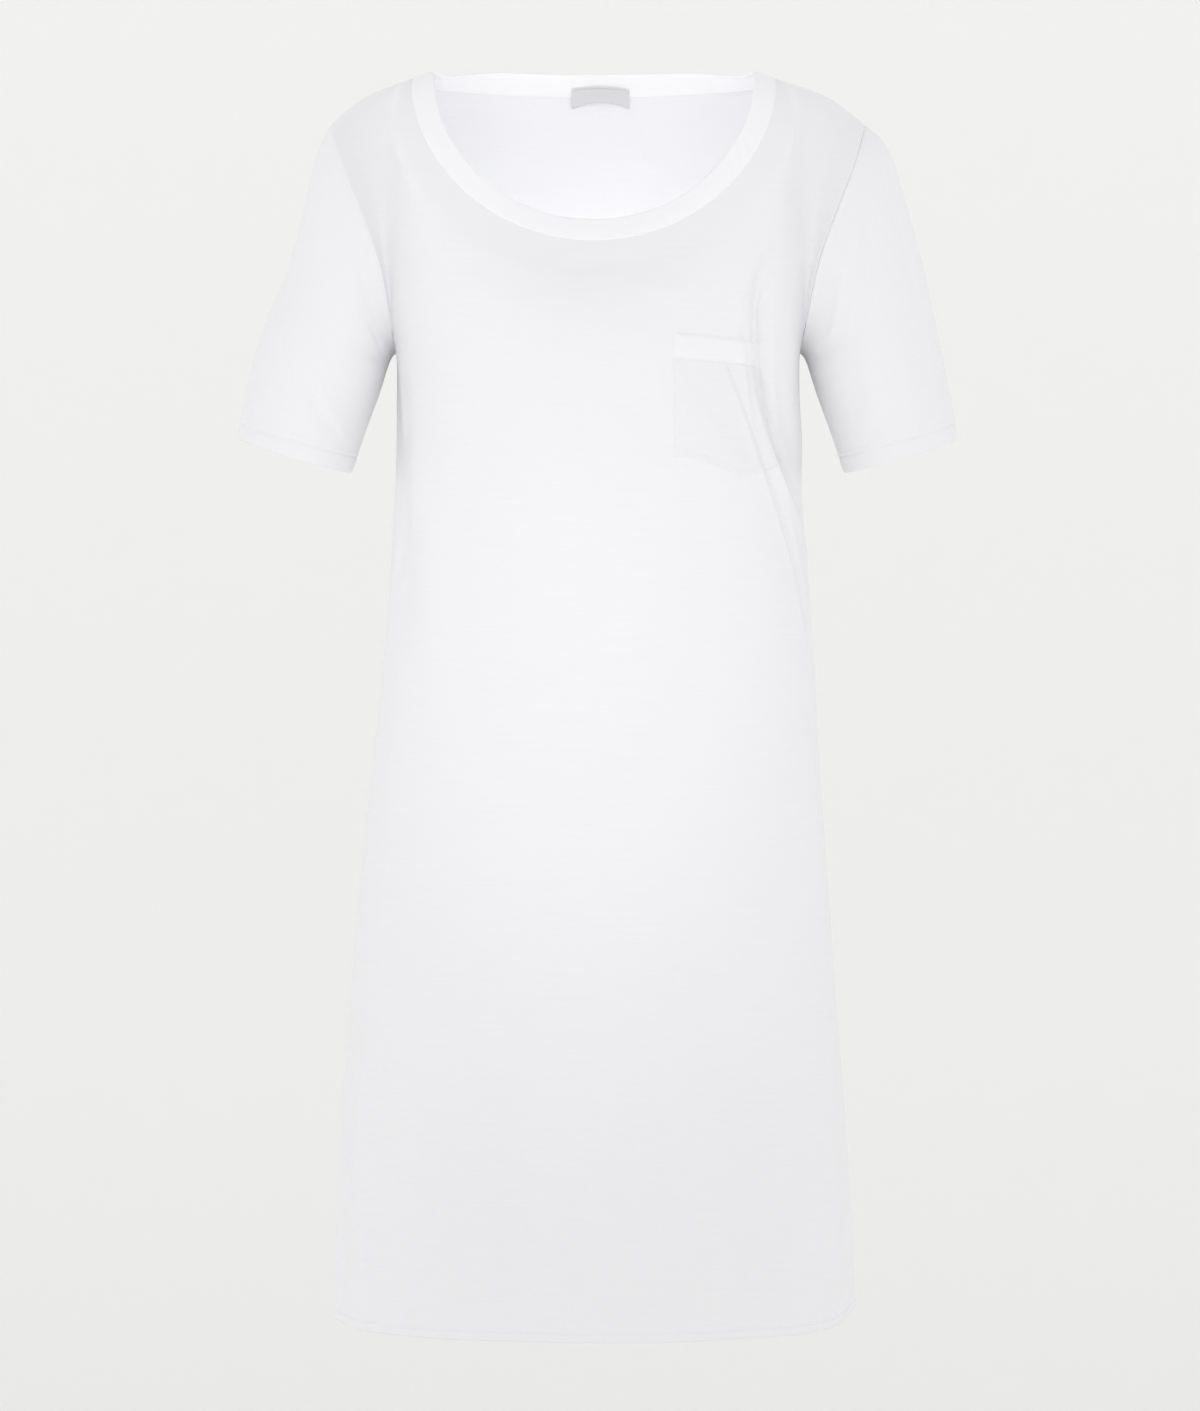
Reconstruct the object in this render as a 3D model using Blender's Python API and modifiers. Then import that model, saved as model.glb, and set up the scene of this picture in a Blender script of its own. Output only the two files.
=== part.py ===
"""Short-sleeved nightshirt in white cotton jersey, filled out as it is worn, with nobody in it.

The whole garment is drawn once as a coarse cage of rings: hem to shoulder for the body, armhole to cuff
for the sleeves and seam to fold for the neckband. Subdivision Surface rounds the cage into one skin, the
skin is cut apart along the seams, and each piece gets its own wall of cloth.

Metres, +Z up, front towards -Y, the wearer's left towards +X. The origin lies midway between the two
shoulder seams where they meet the neckband, which is where the wearer's shoulders carry the garment.
"""

import math

import bmesh
import bpy
import numpy as np

# Cloth and seams
CLOTH = 0.0015
HEM_CLOTH = 0.0026
BAND_CLOTH = 0.0024
BAND_PROUD = 0.0004
POCKET_CLOTH = 0.0012
POCKET_BAND_CLOTH = 0.0019
LABEL_CLOTH = 0.0010
LAY_GAP = 0.0003
LABEL_GAP = 0.0007
SEAM_GAP = 0.0004
SEAM_ROUNDS = 3
SHARPEST_SEAM = 0.5
CALM_REACH = 0.025
SHARP_EDGE = math.radians(40)

# Levels of the garment below the shoulder line
HEM_LEVEL = -0.909
HEM_DEPTH = 0.010
SIDE_RISE_LEFT = 0.0120
SIDE_RISE_RIGHT = 0.0010
SIDE_RISE_REACH = 0.20
CUFF_SLACK = 0.001
BUST_LEVEL = -0.240
ARMPIT = (0.1475, -0.205)
SHOULDER = (0.1940, -0.0385)
SHOULDER_CROWN = 0.0062
CROWN_PLACE = 1.3
ARMPIT_LIFT_REACH = 0.09
ARMPIT_LIFT_START = 0.55
ARMHOLE_REACH = 0.062
BACK_ARMHOLE_EASE = 0.006
CUFF_TILT = 0.0045

# Neck seam, and the band's folded edge inside it
NECK_HALF_WIDTH = 0.132
NECK_SHIFT = -0.003
NECK_POINT_LEVEL = -0.005
FRONT_NECK_LEVEL = -0.132
FRONT_NECK_REACH = 0.092
BACK_NECK_LEVEL = -0.009
BACK_NECK_REACH = 0.064
BACK_NECK_FLATNESS = 0.9
BAND_WIDTH = 0.0176
NECK_CORNER_REACH = 0.6
BAND_LEAN_FRONT = (0.0, 0.42, 0.91)
BAND_LEAN_SIDE = (-0.95, 0.0, 0.30)
BAND_LEAN_BACK = (0.0, -0.45, 0.89)
NECK_ROUNDNESS = 2.2
NECK_RUN = 0.196
NECK_STEPS = 400

# Columns of the cage from the centre to the neck point and to the side, and rows above the bust
SIDE_COLUMN = 10
NECK_COLUMN = 7
UPPER_ROWS = 7
FIT_ROUNDS = 12
SKIN_LEVELS = 1

SECTION_COLUMNS = ("level", "right", "left", "front", "back", "squareness")
BODY_SECTIONS = (
    (-0.909, 0.1915, 0.1885, 0.132, 0.121, 2.15),
    (-0.805, 0.1890, 0.1840, 0.130, 0.118, 2.15),
    (-0.716, 0.1832, 0.1765, 0.127, 0.114, 2.20),
    (-0.604, 0.1755, 0.1690, 0.123, 0.110, 2.20),
    (-0.507, 0.1643, 0.1620, 0.120, 0.104, 2.25),
    (-0.418, 0.1555, 0.1570, 0.119, 0.099, 2.30),
    (-0.349, 0.1497, 0.1518, 0.120, 0.097, 2.30),
    (-0.283, 0.1465, 0.1470, 0.122, 0.098, 2.30),
    (-0.205, 0.1470, 0.1470, 0.121, 0.103, 2.30),
)
ROW_LEVELS = (-0.909, -0.890, -0.842, -0.762, -0.672, -0.580, -0.490, -0.410, -0.348, -0.302, -0.268, BUST_LEVEL)

ARMHOLE_COLUMNS = ("level", "across")
ARMHOLE_LINE = (
    (-0.2050, 0.1475),
    (-0.1882, 0.1485),
    (-0.1667, 0.1529),
    (-0.1441, 0.1573),
    (-0.1218, 0.1649),
    (-0.0992, 0.1737),
    (-0.0791, 0.1818),
    (-0.0608, 0.1880),
    (-0.0385, 0.1940),
)

SLEEVE_COLUMNS = ("outer", "outer_level", "inner", "inner_level", "half_depth", "forward", "right_slimmer")
SLEEVE_RINGS = (
    (0.2115, -0.0565, 0.1510, -0.2095, 0.0635, 0.000, 0.0080),
    (0.2230, -0.0900, 0.1548, -0.2200, 0.0640, 0.001, 0.0105),
    (0.2330, -0.1260, 0.1585, -0.2325, 0.0625, 0.003, 0.0125),
    (0.2412, -0.1620, 0.1628, -0.2450, 0.0605, 0.005, 0.0085),
    (0.2490, -0.1990, 0.1675, -0.2580, 0.0580, 0.006, 0.0015),
    (0.2598, -0.2520, 0.1748, -0.2790, 0.0560, 0.007, 0.0000),
    (0.2612, -0.2685, 0.1795, -0.2930, 0.0558, 0.007, 0.0000),
)

# Folds: across is a share of the quarter turn from the centre line to a side seam, QUARTER_CLOTH long
QUARTER_CLOTH = 0.215
FOLD_STEPS = 24
FOLD_END = 0.08
FOLD_FADE = 0.7
RIDGE_HEIGHT = 0.35
RIDGE_PLACE = 1.9

FOLD_COLUMNS = ("piece", "across_1", "level_1", "across_2", "level_2", "across_3", "level_3", "depth", "width")
FOLDS = (
    ("front_panel", 0.545, -0.165, 0.48, -0.275, 0.93, -0.335, 0.0080, 0.0140),
    ("front_panel", 0.90, -0.480, 0.95, -0.560, 0.93, -0.700, 0.0040, 0.0150),
    ("front_panel", 0.84, -0.740, 0.86, -0.830, 0.82, -0.920, 0.0040, 0.0150),
    ("front_panel", -0.82, -0.700, -0.84, -0.800, -0.80, -0.920, 0.0045, 0.0150),
    ("front_panel", -0.22, -0.600, -0.23, -0.760, -0.17, -0.920, 0.0050, 0.0260),
    ("front_panel", 0.30, -0.620, 0.33, -0.780, 0.36, -0.920, 0.0045, 0.0240),
    ("front_panel", -0.66, -0.400, -0.78, -0.300, -0.92, -0.230, 0.0040, 0.0160),
    ("back_panel", 0.62, -0.150, 0.76, -0.230, 0.90, -0.350, 0.0050, 0.0165),
    ("back_panel", -0.62, -0.150, -0.78, -0.235, -0.92, -0.360, 0.0050, 0.0165),
    ("back_panel", 0.00, -0.360, 0.02, -0.600, -0.03, -0.920, 0.0055, 0.0280),
    ("back_panel", 0.46, -0.480, 0.50, -0.700, 0.44, -0.920, 0.0050, 0.0240),
    ("back_panel", -0.48, -0.450, -0.50, -0.680, -0.56, -0.920, 0.0050, 0.0240),
    ("back_panel", 0.83, -0.600, 0.86, -0.760, 0.82, -0.920, 0.0040, 0.0160),
    ("back_panel", -0.82, -0.620, -0.85, -0.760, -0.84, -0.920, 0.0040, 0.0160),
)

# Breast pocket on the wearer's left, drawn on the front as seen from before it
POCKET_TOP = (0.0570, -0.1988, 0.1165, -0.2034)
POCKET_SEAM_DROP = 0.0204
POCKET_SEAM_GAP = 0.0008
POCKET_INNER_EDGE = 0.0525
POCKET_OUTER_EDGE = (0.1180, -0.2034, 0.1300, -0.2912)
POCKET_OUTER_DEPTH = -0.0880
POCKET_OUTER_WAY = (-0.75, 0.66, 0.0)
POCKET_FOOT = (0.0525, -0.2898, 0.1009, -0.3013, 0.1300, -0.2912)
POCKET_CLOTH_FROM = 0.02
POCKET_CLOTH_LEVELS = (-0.33, -0.15)

# Blank woven label inside the back neck
LABEL_HALF_WIDTH = 0.021
LABEL_TOP = 0.0005
LABEL_FOOT = -0.0150
LABEL_ARCH = 0.0030
LABEL_CLOTH_WITHIN = 0.05
LABEL_CLOTH_ABOVE = -0.07

PIECES = ("front_panel", "back_panel", "sleeve_left", "sleeve_right", "neckband")
FRONT, BACK, SLEEVE_LEFT, SLEEVE_RIGHT, BAND = range(len(PIECES))

# Finishes: colour, roughness
FINISHES = {
    "jersey": ((0.90, 0.90, 0.92), 0.90),
    "rib": ((0.93, 0.93, 0.95), 0.88),
    "label": ((0.62, 0.62, 0.64), 0.60),
}
FINISH_OF = {"neckband": "rib", "pocket_band": "rib", "label": "label"}


def clear_scene():
    for obj in list(bpy.data.objects):
        bpy.data.objects.remove(obj)


def finish(name):
    """The shared material of that name, made when it is first asked for."""
    material = bpy.data.materials.get(name)
    if material is None:
        colour, roughness = FINISHES[name]
        material = bpy.data.materials.new(name)
        material.use_nodes = True
        shader = material.node_tree.nodes["Principled BSDF"]
        shader.inputs["Base Color"].default_value = (*colour, 1.0)
        shader.inputs["Roughness"].default_value = roughness
        shader.inputs["Metallic"].default_value = 0.0
    return material


def by_column(names, rows):
    """A table's columns as arrays, by their names."""
    return dict(zip(names, np.array(rows).T))


def section(level):
    """The body's section at a level, as a dict of its named columns."""
    table = by_column(SECTION_COLUMNS, BODY_SECTIONS)
    return {name: float(np.interp(level, table["level"], table[name])) for name in SECTION_COLUMNS}


def ring_point(column, level, face):
    """A point of the body's ring at a column, on the front (face -1) or the back (face 1)."""
    cut = section(level)
    turn = abs(column) / SIDE_COLUMN * math.pi / 2
    power = 2 / cut["squareness"]
    reach = cut["left"] if column > 0 else cut["right"]
    depth = cut["front"] if face < 0 else cut["back"]
    across = math.copysign(reach * math.sin(turn) ** power, column)
    return np.array((across, face * depth * max(math.cos(turn), 0.0) ** power, level))


def hem_rise(across):
    """Rise of the hem at a share of the quarter turn from the centre line to a side seam."""
    rise = SIDE_RISE_LEFT if across > 0 else SIDE_RISE_RIGHT
    return rise * max(0.0, 2 * abs(across) - 1) ** 2


def row_level(row, column):
    """Level of a row at a column: it lifts to the armpit at the side, and follows the hem below."""
    level = ROW_LEVELS[row]
    across = column / SIDE_COLUMN
    hem_share = max(0.0, 1 - (level - HEM_LEVEL) / SIDE_RISE_REACH)
    arm_share = max(0.0, 1 - (BUST_LEVEL - level) / ARMPIT_LIFT_REACH)
    arm_turn = max(0.0, (abs(across) - ARMPIT_LIFT_START) / (1 - ARMPIT_LIFT_START))
    return level + hem_rise(across) * hem_share + (ARMPIT[1] - BUST_LEVEL) * arm_share * arm_turn ** 2


def armhole_point(side, face, share):
    """A point of the armhole seam, from the armpit (share 0) over the front or back to the shoulder (share 1)."""
    turn = math.pi * (share - 0.5)
    middle, half = (SHOULDER[1] + ARMPIT[1]) / 2, (SHOULDER[1] - ARMPIT[1]) / 2
    level = middle + half * math.sin(turn)
    line = by_column(ARMHOLE_COLUMNS, ARMHOLE_LINE)
    across = float(np.interp(level, line["level"], line["across"]))
    if face > 0:
        across += BACK_ARMHOLE_EASE * math.cos(turn)
    return np.array((side * across, face * ARMHOLE_REACH * math.cos(turn), level))


def neck_curve(turn, face):
    """A point of the neck seam, at a turn from the centre line (0) to the shoulder seam (a right angle)."""
    if face > 0:
        level = BACK_NECK_LEVEL + (NECK_POINT_LEVEL - BACK_NECK_LEVEL) * (1 - math.cos(turn))
        reach = BACK_NECK_REACH * max(math.cos(turn), 0.0) ** BACK_NECK_FLATNESS
    else:
        level = FRONT_NECK_LEVEL + (NECK_POINT_LEVEL - FRONT_NECK_LEVEL) * (1 - math.cos(turn))
        drop = min(1.0, max(0.0, NECK_POINT_LEVEL - level) / NECK_RUN)
        reach = -FRONT_NECK_REACH * (1 - (1 - drop) ** NECK_ROUNDNESS) ** (1 / NECK_ROUNDNESS)
    return np.array((NECK_HALF_WIDTH * math.sin(turn), reach, level))


def neck_points(face):
    """The neck seam's points by column, evenly spaced along it on each side of the centre line."""
    fine = np.array([neck_curve(turn, face) for turn in np.linspace(0, math.pi / 2, NECK_STEPS)])
    run = np.concatenate([[0.0], np.cumsum(np.linalg.norm(np.diff(fine, axis=0), axis=1))])
    spots = {}
    for column in range(NECK_COLUMN + 1):
        x, y, z = (np.interp(run[-1] * column / NECK_COLUMN, run, fine[:, k]) for k in range(3))
        spots[column] = np.array((NECK_SHIFT + x, y, z))
        spots[-column] = np.array((NECK_SHIFT - x, y, z))
    return spots


def shoulder_point(side, neck, part):
    """A point of the shoulder seam, at a part of the way from the neck point to the armhole."""
    crown = SHOULDER_CROWN * math.sin(math.pi * part ** CROWN_PLACE)
    return neck + (armhole_point(side, -1, 1.0) - neck) * part + (0, 0, crown)


def sleeve_point(side, ring, face, share):
    """A point of a sleeve's ring, at a share of the way from its inner line to its outer line."""
    row = dict(zip(SLEEVE_COLUMNS, SLEEVE_RINGS[ring]))
    turn = math.pi * (share - 0.5)
    outer = np.array((row["outer"] - (row["right_slimmer"] if side < 0 else 0), row["outer_level"]))
    inner = np.array((row["inner"], row["inner_level"]))
    across, level = (outer + inner) / 2 + (outer - inner) / 2 * math.sin(turn)
    seam = armhole_point(1, face, share)
    plain = (np.array(SHOULDER) + ARMPIT) / 2 + (np.array(SHOULDER) - ARMPIT) / 2 * math.sin(turn)
    fade = (1 - (ring + 1) / len(SLEEVE_RINGS)) ** 2
    across += fade * (seam[0] - plain[0])
    level += face * CUFF_TILT * math.cos(turn) * ((ring + 1) / len(SLEEVE_RINGS)) ** 2
    return np.array((side * across, face * row["half_depth"] * math.cos(turn) - row["forward"], level))


class Cage:
    """The coarse cage of the whole garment: points, faces and the piece that each face belongs to."""

    def __init__(self):
        self.points, self.faces, self.pieces, self.creased = [], [], [], []

    def add(self, point):
        self.points.append(tuple(float(x) for x in point))
        return len(self.points) - 1

    def strip(self, one, two, piece, closed=False):
        """Faces between two rows of points with the same count."""
        count = len(one)
        for k in range(count if closed else count - 1):
            n = (k + 1) % count
            self.faces.append((one[k], one[n], two[n], two[k]))
            self.pieces.append(piece)


def band_point(seam, share):
    """A point of the neckband, at a share of the way from the neck seam to the band's folded edge."""
    x, y, _ = seam
    sideways = abs(x - NECK_SHIFT) / NECK_HALF_WIDTH
    endways = abs(y) / (FRONT_NECK_REACH if y < 0 else BACK_NECK_REACH)
    side_share = sideways ** 2 / (sideways ** 2 + endways ** 2)
    side_lean = np.array(BAND_LEAN_SIDE) * (math.copysign(1, x), 1, 1)
    end_lean = np.array(BAND_LEAN_FRONT if y < 0 else BAND_LEAN_BACK)
    lean = side_share * side_lean + (1 - side_share) * end_lean
    return np.array(seam) + lean / np.linalg.norm(lean) * BAND_WIDTH * share


def body_rows(cage):
    """Front and back rows of point numbers, hem first, with the points still to be settled and those kept smooth."""
    columns = list(range(-SIDE_COLUMN, SIDE_COLUMN + 1))
    front, back = [], []
    for row in range(len(ROW_LEVELS)):
        front.append({c: cage.add(ring_point(c, row_level(row, c), -1)) for c in columns})
        back.append({c: front[-1][c] if abs(c) == SIDE_COLUMN
                     else cage.add(ring_point(c, row_level(row, c), 1)) for c in columns})
    free, smooth = [], [front[-1][c] for c in columns[1:-1]] + [back[-1][c] for c in columns[1:-1]]
    necks = {face: neck_points(face) for face in (-1, 1)}
    for row in range(1, UPPER_ROWS):
        for face, rows in ((-1, front), (1, back)):
            rows.append({c: cage.add((0, 0, 0)) for c in columns[1:-1]})
            for column, number in rows[-1].items():
                away = NECK_COLUMN - abs(column)
                if row == UPPER_ROWS - 1 and away > 0:
                    reach = min(1.0, NECK_CORNER_REACH * away)
                    cage.points[number] = tuple(band_point(necks[face][column], -reach))
                    smooth.append(number)
                else:
                    free.append(number)
            for side in (-1, 1):
                rows[-1][side * SIDE_COLUMN] = cage.add(armhole_point(side, face, row / UPPER_ROWS))
    front.append({c: cage.add(point) for c, point in necks[-1].items()})
    back.append({c: cage.add(point) for c, point in necks[1].items() if abs(c) < NECK_COLUMN})
    for side in (-1, 1):
        neck = np.array(cage.points[front[-1][side * NECK_COLUMN]])
        for column in range(NECK_COLUMN, SIDE_COLUMN + 1):
            if column > NECK_COLUMN:
                part = (column - NECK_COLUMN) / (SIDE_COLUMN - NECK_COLUMN)
                front[-1][side * column] = cage.add(shoulder_point(side, neck, part))
            back[-1][side * column] = front[-1][side * column]
            if NECK_COLUMN < column < SIDE_COLUMN:
                smooth.append(front[-1][side * column])
    return front, back, free, smooth + free


def settle(cage, free, smooth):
    """Settles the free points as a thin plate would, so that each smooth point lies amid its neighbours."""
    near = {v: set() for v in smooth}
    for face in cage.faces:
        for a, b in zip(face, face[1:] + face[:1]):
            for one, other in ((a, b), (b, a)):
                if one in near:
                    near[one].add(other)
    place = {v: k for k, v in enumerate(free)}
    sums = np.zeros((len(smooth), len(free)))
    held = np.zeros((len(smooth), 3))
    for row, v in enumerate(smooth):
        for other, weight in [(v, 1.0)] + [(n, -1 / len(near[v])) for n in near[v]]:
            if other in place:
                sums[row, place[other]] += weight
            else:
                held[row] -= weight * np.array(cage.points[other])
    settled = np.linalg.lstsq(sums, held, rcond=None)[0]
    for v, point in zip(free, settled):
        cage.points[v] = tuple(point)


def add_sleeve(cage, front, back, side, piece):
    """Rings of a sleeve from the armhole seam to the cuff."""
    edge, first = side * SIDE_COLUMN, len(ROW_LEVELS) - 1
    loop = [front[first + k][edge] for k in range(UPPER_ROWS + 1)]
    loop += [back[first + k][edge] for k in range(UPPER_ROWS - 1, 0, -1)]
    cage.creased += [(loop[k], loop[(k + 1) % len(loop)]) for k in range(len(loop))]
    places = [(-1, k / UPPER_ROWS) for k in range(UPPER_ROWS + 1)]
    places += [(1, k / UPPER_ROWS) for k in range(UPPER_ROWS - 1, 0, -1)]
    for ring in range(len(SLEEVE_RINGS)):
        new = [cage.add(sleeve_point(side, ring, face, share)) for face, share in places]
        cage.strip(loop, new, piece, closed=True)
        loop = new


def add_neckband(cage, front, back):
    """Two rows of band from the neck seam to the folded edge."""
    top_front, top_back = front[-1], back[-1]
    loop = [top_front[c] for c in range(-NECK_COLUMN, NECK_COLUMN + 1)]
    loop += [top_back[c] for c in range(NECK_COLUMN - 1, -NECK_COLUMN, -1)]
    seam = [cage.points[k] for k in loop]
    for share in (0.5, 1.0):
        new = [cage.add(band_point(point, share)) for point in seam]
        cage.strip(loop, new, BAND, closed=True)
        loop = new


def garment_cage():
    cage = Cage()
    front, back, free, smooth = body_rows(cage)
    columns = list(range(-SIDE_COLUMN, SIDE_COLUMN + 1))
    for low, high in zip(front, front[1:]):
        cage.strip([low[c] for c in columns], [high[c] for c in columns], FRONT)
    for low, high in zip(back, back[1:]):
        cage.strip([low[c] for c in reversed(columns)], [high[c] for c in reversed(columns)], BACK)
    settle(cage, free, smooth)
    add_sleeve(cage, front, back, 1, SLEEVE_LEFT)
    add_sleeve(cage, front, back, -1, SLEEVE_RIGHT)
    add_neckband(cage, front, back)
    return cage


def rounded_skin(cage, levels):
    """The skin of the garment as (points, normals, faces, pieces), passing through the cage's own points."""
    mesh = bpy.data.meshes.new("skin")
    mesh.from_pydata(cage.points, [], cage.faces)
    for polygon, piece in zip(mesh.polygons, cage.pieces):
        polygon.material_index = piece
    sketch = bmesh.new()
    sketch.from_mesh(mesh)
    bmesh.ops.recalc_face_normals(sketch, faces=sketch.faces)
    sketch.faces.ensure_lookup_table()
    if sketch.faces[SIDE_COLUMN].normal.y > 0:
        bmesh.ops.reverse_faces(sketch, faces=sketch.faces)
    crease = sketch.edges.layers.float.new("crease_edge")
    seams = {frozenset(pair) for pair in cage.creased}
    for edge in sketch.edges:
        edge[crease] = float(frozenset(v.index for v in edge.verts) in seams)
    sketch.to_mesh(mesh)
    sketch.free()
    for name in PIECES:
        mesh.materials.append(finish(FINISH_OF.get(name, "jersey")))
    skin = bpy.data.objects.new("skin", mesh)
    bpy.context.scene.collection.objects.link(skin)
    smooth = skin.modifiers.new("round", "SUBSURF")
    smooth.levels = smooth.render_levels = levels
    target = np.array(cage.points)
    for _ in range(FIT_ROUNDS):
        reached = evaluated(skin)[0][: len(target)]
        moved = np.array([v.co for v in mesh.vertices]) + (target - reached)
        mesh.vertices.foreach_set("co", moved.ravel())
        mesh.update()
    result = evaluated(skin)
    bpy.data.objects.remove(skin)
    return result


def evaluated(obj):
    """(points, normals, faces, pieces) of an object with its modifiers."""
    bpy.context.view_layer.update()
    mesh = obj.evaluated_get(bpy.context.evaluated_depsgraph_get()).to_mesh()
    points = np.array([v.co for v in mesh.vertices], float)
    normals = np.array([v.normal for v in mesh.vertices], float)
    faces = [(a, b, c) for q in mesh.polygons for a, b, c in (q.vertices[:3], (q.vertices[0], *q.vertices[2:]))]
    pieces = np.repeat([q.material_index for q in mesh.polygons], 2)
    obj.evaluated_get(bpy.context.evaluated_depsgraph_get()).to_mesh_clear()
    return points, normals, faces, pieces


def across_share(point):
    """Share of a quarter turn from the centre line to the side seam, less than 0 on the wearer's right."""
    cut = section(min(point[2], ARMPIT[1]))
    reach = cut["left"] if point[0] > 0 else cut["right"]
    depth = cut["front"] if point[1] < 0 else cut["back"]
    return math.atan2(point[0] / reach, abs(point[1]) / depth) / (math.pi / 2)


def fold_curve(row):
    """A fold's line on the laid-out cloth, as points (across, level)."""
    knots = np.array([
        (row["across_1"] * QUARTER_CLOTH, row["level_1"]),
        (row["across_2"] * QUARTER_CLOTH, row["level_2"]),
        (row["across_3"] * QUARTER_CLOTH, row["level_3"]),
    ])
    share = np.linspace(0, 1, FOLD_STEPS)[:, None]
    return (1 - share) * ((1 - share) * knots[0] + share * knots[1]) + share * (
        (1 - share) * knots[1] + share * knots[2])


def skin_normals(points, faces, pieces):
    """Normals at a skin's points: along a seam, halfway between the normals of the pieces that meet there."""
    corners = points[np.array(faces)]
    turned = np.cross(corners[:, 1] - corners[:, 0], corners[:, 2] - corners[:, 0])
    total = np.zeros_like(points)
    for piece in range(len(PIECES)):
        own = np.zeros_like(points)
        for corner in range(3):
            np.add.at(own, np.array(faces)[pieces == piece, corner], turned[pieces == piece])
        total += own / np.maximum(np.linalg.norm(own, axis=1), 1e-12)[:, None]
    return total / np.linalg.norm(total, axis=1)[:, None]


def press_folds(points, normals, faces, pieces):
    """Presses the largest folds into the skin as soft troughs, each with its two low ridges."""
    pressed = points.copy()
    for piece, name in enumerate(PIECES):
        own = sorted({v for face, p in zip(faces, pieces) if p == piece for v in face})
        flat = np.array([(across_share(points[v]) * QUARTER_CLOTH, points[v][2]) for v in own])
        depth = np.zeros(len(own))
        for fold in FOLDS:
            row = dict(zip(FOLD_COLUMNS, fold))
            if row["piece"] != name:
                continue
            line = fold_curve(row)
            gaps = np.linalg.norm(flat[:, None] - line[None], axis=2)
            nearest = gaps.argmin(axis=1) / (len(line) - 1)
            aside = gaps.min(axis=1) / row["width"]
            ends = np.sin(np.pi * (FOLD_END + (1 - 2 * FOLD_END) * nearest)) ** FOLD_FADE
            ridges = RIDGE_HEIGHT * np.exp(-((aside - RIDGE_PLACE) ** 2))
            depth += row["depth"] * ends * (np.exp(-aside ** 2) - ridges)
        if depth.any():
            others = {v for face, p in zip(faces, pieces) if p != piece for v in face}
            seams = points[sorted(others.intersection(own))]
            pressed[own] -= normals[own] * (depth * seam_calm(points[own], seams))[:, None]
    return pressed


def seam_calm(points, seams):
    """1 on open cloth, falling to 0 at the seams, so that the pieces on both sides of a seam still meet."""
    away = np.linalg.norm(points[:, None] - seams[None], axis=2).min(axis=1)
    return np.clip(away / CALM_REACH, 0, 1) ** 2 * (3 - 2 * np.clip(away / CALM_REACH, 0, 1))


def hem_depths(points, piece):
    """Extra wall where the cloth is turned up, for each point of a piece."""
    extra = np.zeros(len(points))
    if piece in (FRONT, BACK):
        for k, point in enumerate(points):
            edge = HEM_LEVEL + hem_rise(across_share(point))
            extra[k] = HEM_CLOTH - CLOTH if point[2] < edge + HEM_DEPTH else 0.0
    if piece in (SLEEVE_LEFT, SLEEVE_RIGHT):
        fold = dict(zip(SLEEVE_COLUMNS, SLEEVE_RINGS[-2]))
        along = np.array((fold["outer"] - fold["inner"], fold["outer_level"] - fold["inner_level"]))
        down = np.array((along[1], -along[0])) / np.linalg.norm(along)
        reach = (np.abs(points[:, 0]) - fold["outer"]) * down[0] + (points[:, 2] - fold["outer_level"]) * down[1]
        extra[reach > -CUFF_SLACK] = HEM_CLOTH - CLOTH
    return extra


def seam_moves(points, faces, pieces):
    """For each piece, the small moves that draw its points back from its seams, so that neighbours stay clear."""
    owners = {}
    for number, face in enumerate(faces):
        for a, b in zip(face, face[1:] + face[:1]):
            owners.setdefault((min(a, b), max(a, b)), []).append(number)
    pulls = {}
    for (a, b), sides in owners.items():
        if len(sides) < 2 or pieces[sides[0]] == pieces[sides[1]]:
            continue
        along = points[b] - points[a]
        inward = [points[list(faces[side])].mean(axis=0) - points[a] for side in sides]
        inward = [way - along * (way @ along) / (along @ along) for way in inward]
        inward = [way / np.linalg.norm(way) for way in inward]
        reach = SEAM_GAP / max(np.linalg.norm(inward[0] - inward[1]), SHARPEST_SEAM)
        for side, way in zip(sides, inward):
            for end in (a, b):
                pulls.setdefault((pieces[side], end), []).append((way, reach))
    moves = np.zeros((len(PIECES), len(points), 3))
    for (piece, end), ways in pulls.items():
        for way, reach in ways * SEAM_ROUNDS:
            moves[piece, end] += way * max(0.0, reach - moves[piece, end] @ way)
    return moves


def wall(name, outer, inner, faces):
    """A closed wall between an outer and an inner skin that share their faces, as an object.

    Its rim is split by the order of the points, which is the same in both pieces at a seam.
    """
    own = sorted({v for face in faces for v in face})
    place = {v: k for k, v in enumerate(own)}
    shape = bmesh.new()
    outside = [shape.verts.new(outer[v]) for v in own]
    inside = [shape.verts.new(inner[v]) for v in own]
    edges = {}
    for face in faces:
        local = [place[v] for v in face]
        shape.faces.new([outside[v] for v in local])
        shape.faces.new([inside[v] for v in reversed(local)])
        for a, b in zip(local, local[1:] + local[:1]):
            edges[(a, b)] = edges.get((a, b), 0) + 1
    for a, b in edges:
        if (b, a) in edges:
            continue
        if a < b:
            shape.faces.new((outside[b], outside[a], inside[a]))
            shape.faces.new((outside[b], inside[a], inside[b]))
        else:
            shape.faces.new((outside[b], outside[a], inside[b]))
            shape.faces.new((outside[a], inside[a], inside[b]))
    mesh = bpy.data.meshes.new(name)
    shape.to_mesh(mesh)
    shape.free()
    mesh.shade_smooth()
    mesh.set_sharp_from_angle(angle=SHARP_EDGE)
    mesh.materials.append(finish(FINISH_OF.get(name, "jersey")))
    obj = bpy.data.objects.new(name, mesh)
    bpy.data.collections["nightshirt"].objects.link(obj)
    return obj


def cloth_piece(skin, piece, moves):
    """One cut piece of the garment, walled inwards from the skin."""
    points, normals, faces, pieces = skin
    own = [face for face, p in zip(faces, pieces) if p == piece]
    proud = BAND_PROUD if piece == BAND else 0.0
    thick = (BAND_CLOTH if piece == BAND else CLOTH) + hem_depths(points, piece)
    outer = points + normals * proud + moves
    inner = outer - normals * thick[:, None]
    return wall(PIECES[piece], outer, inner, own)


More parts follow.
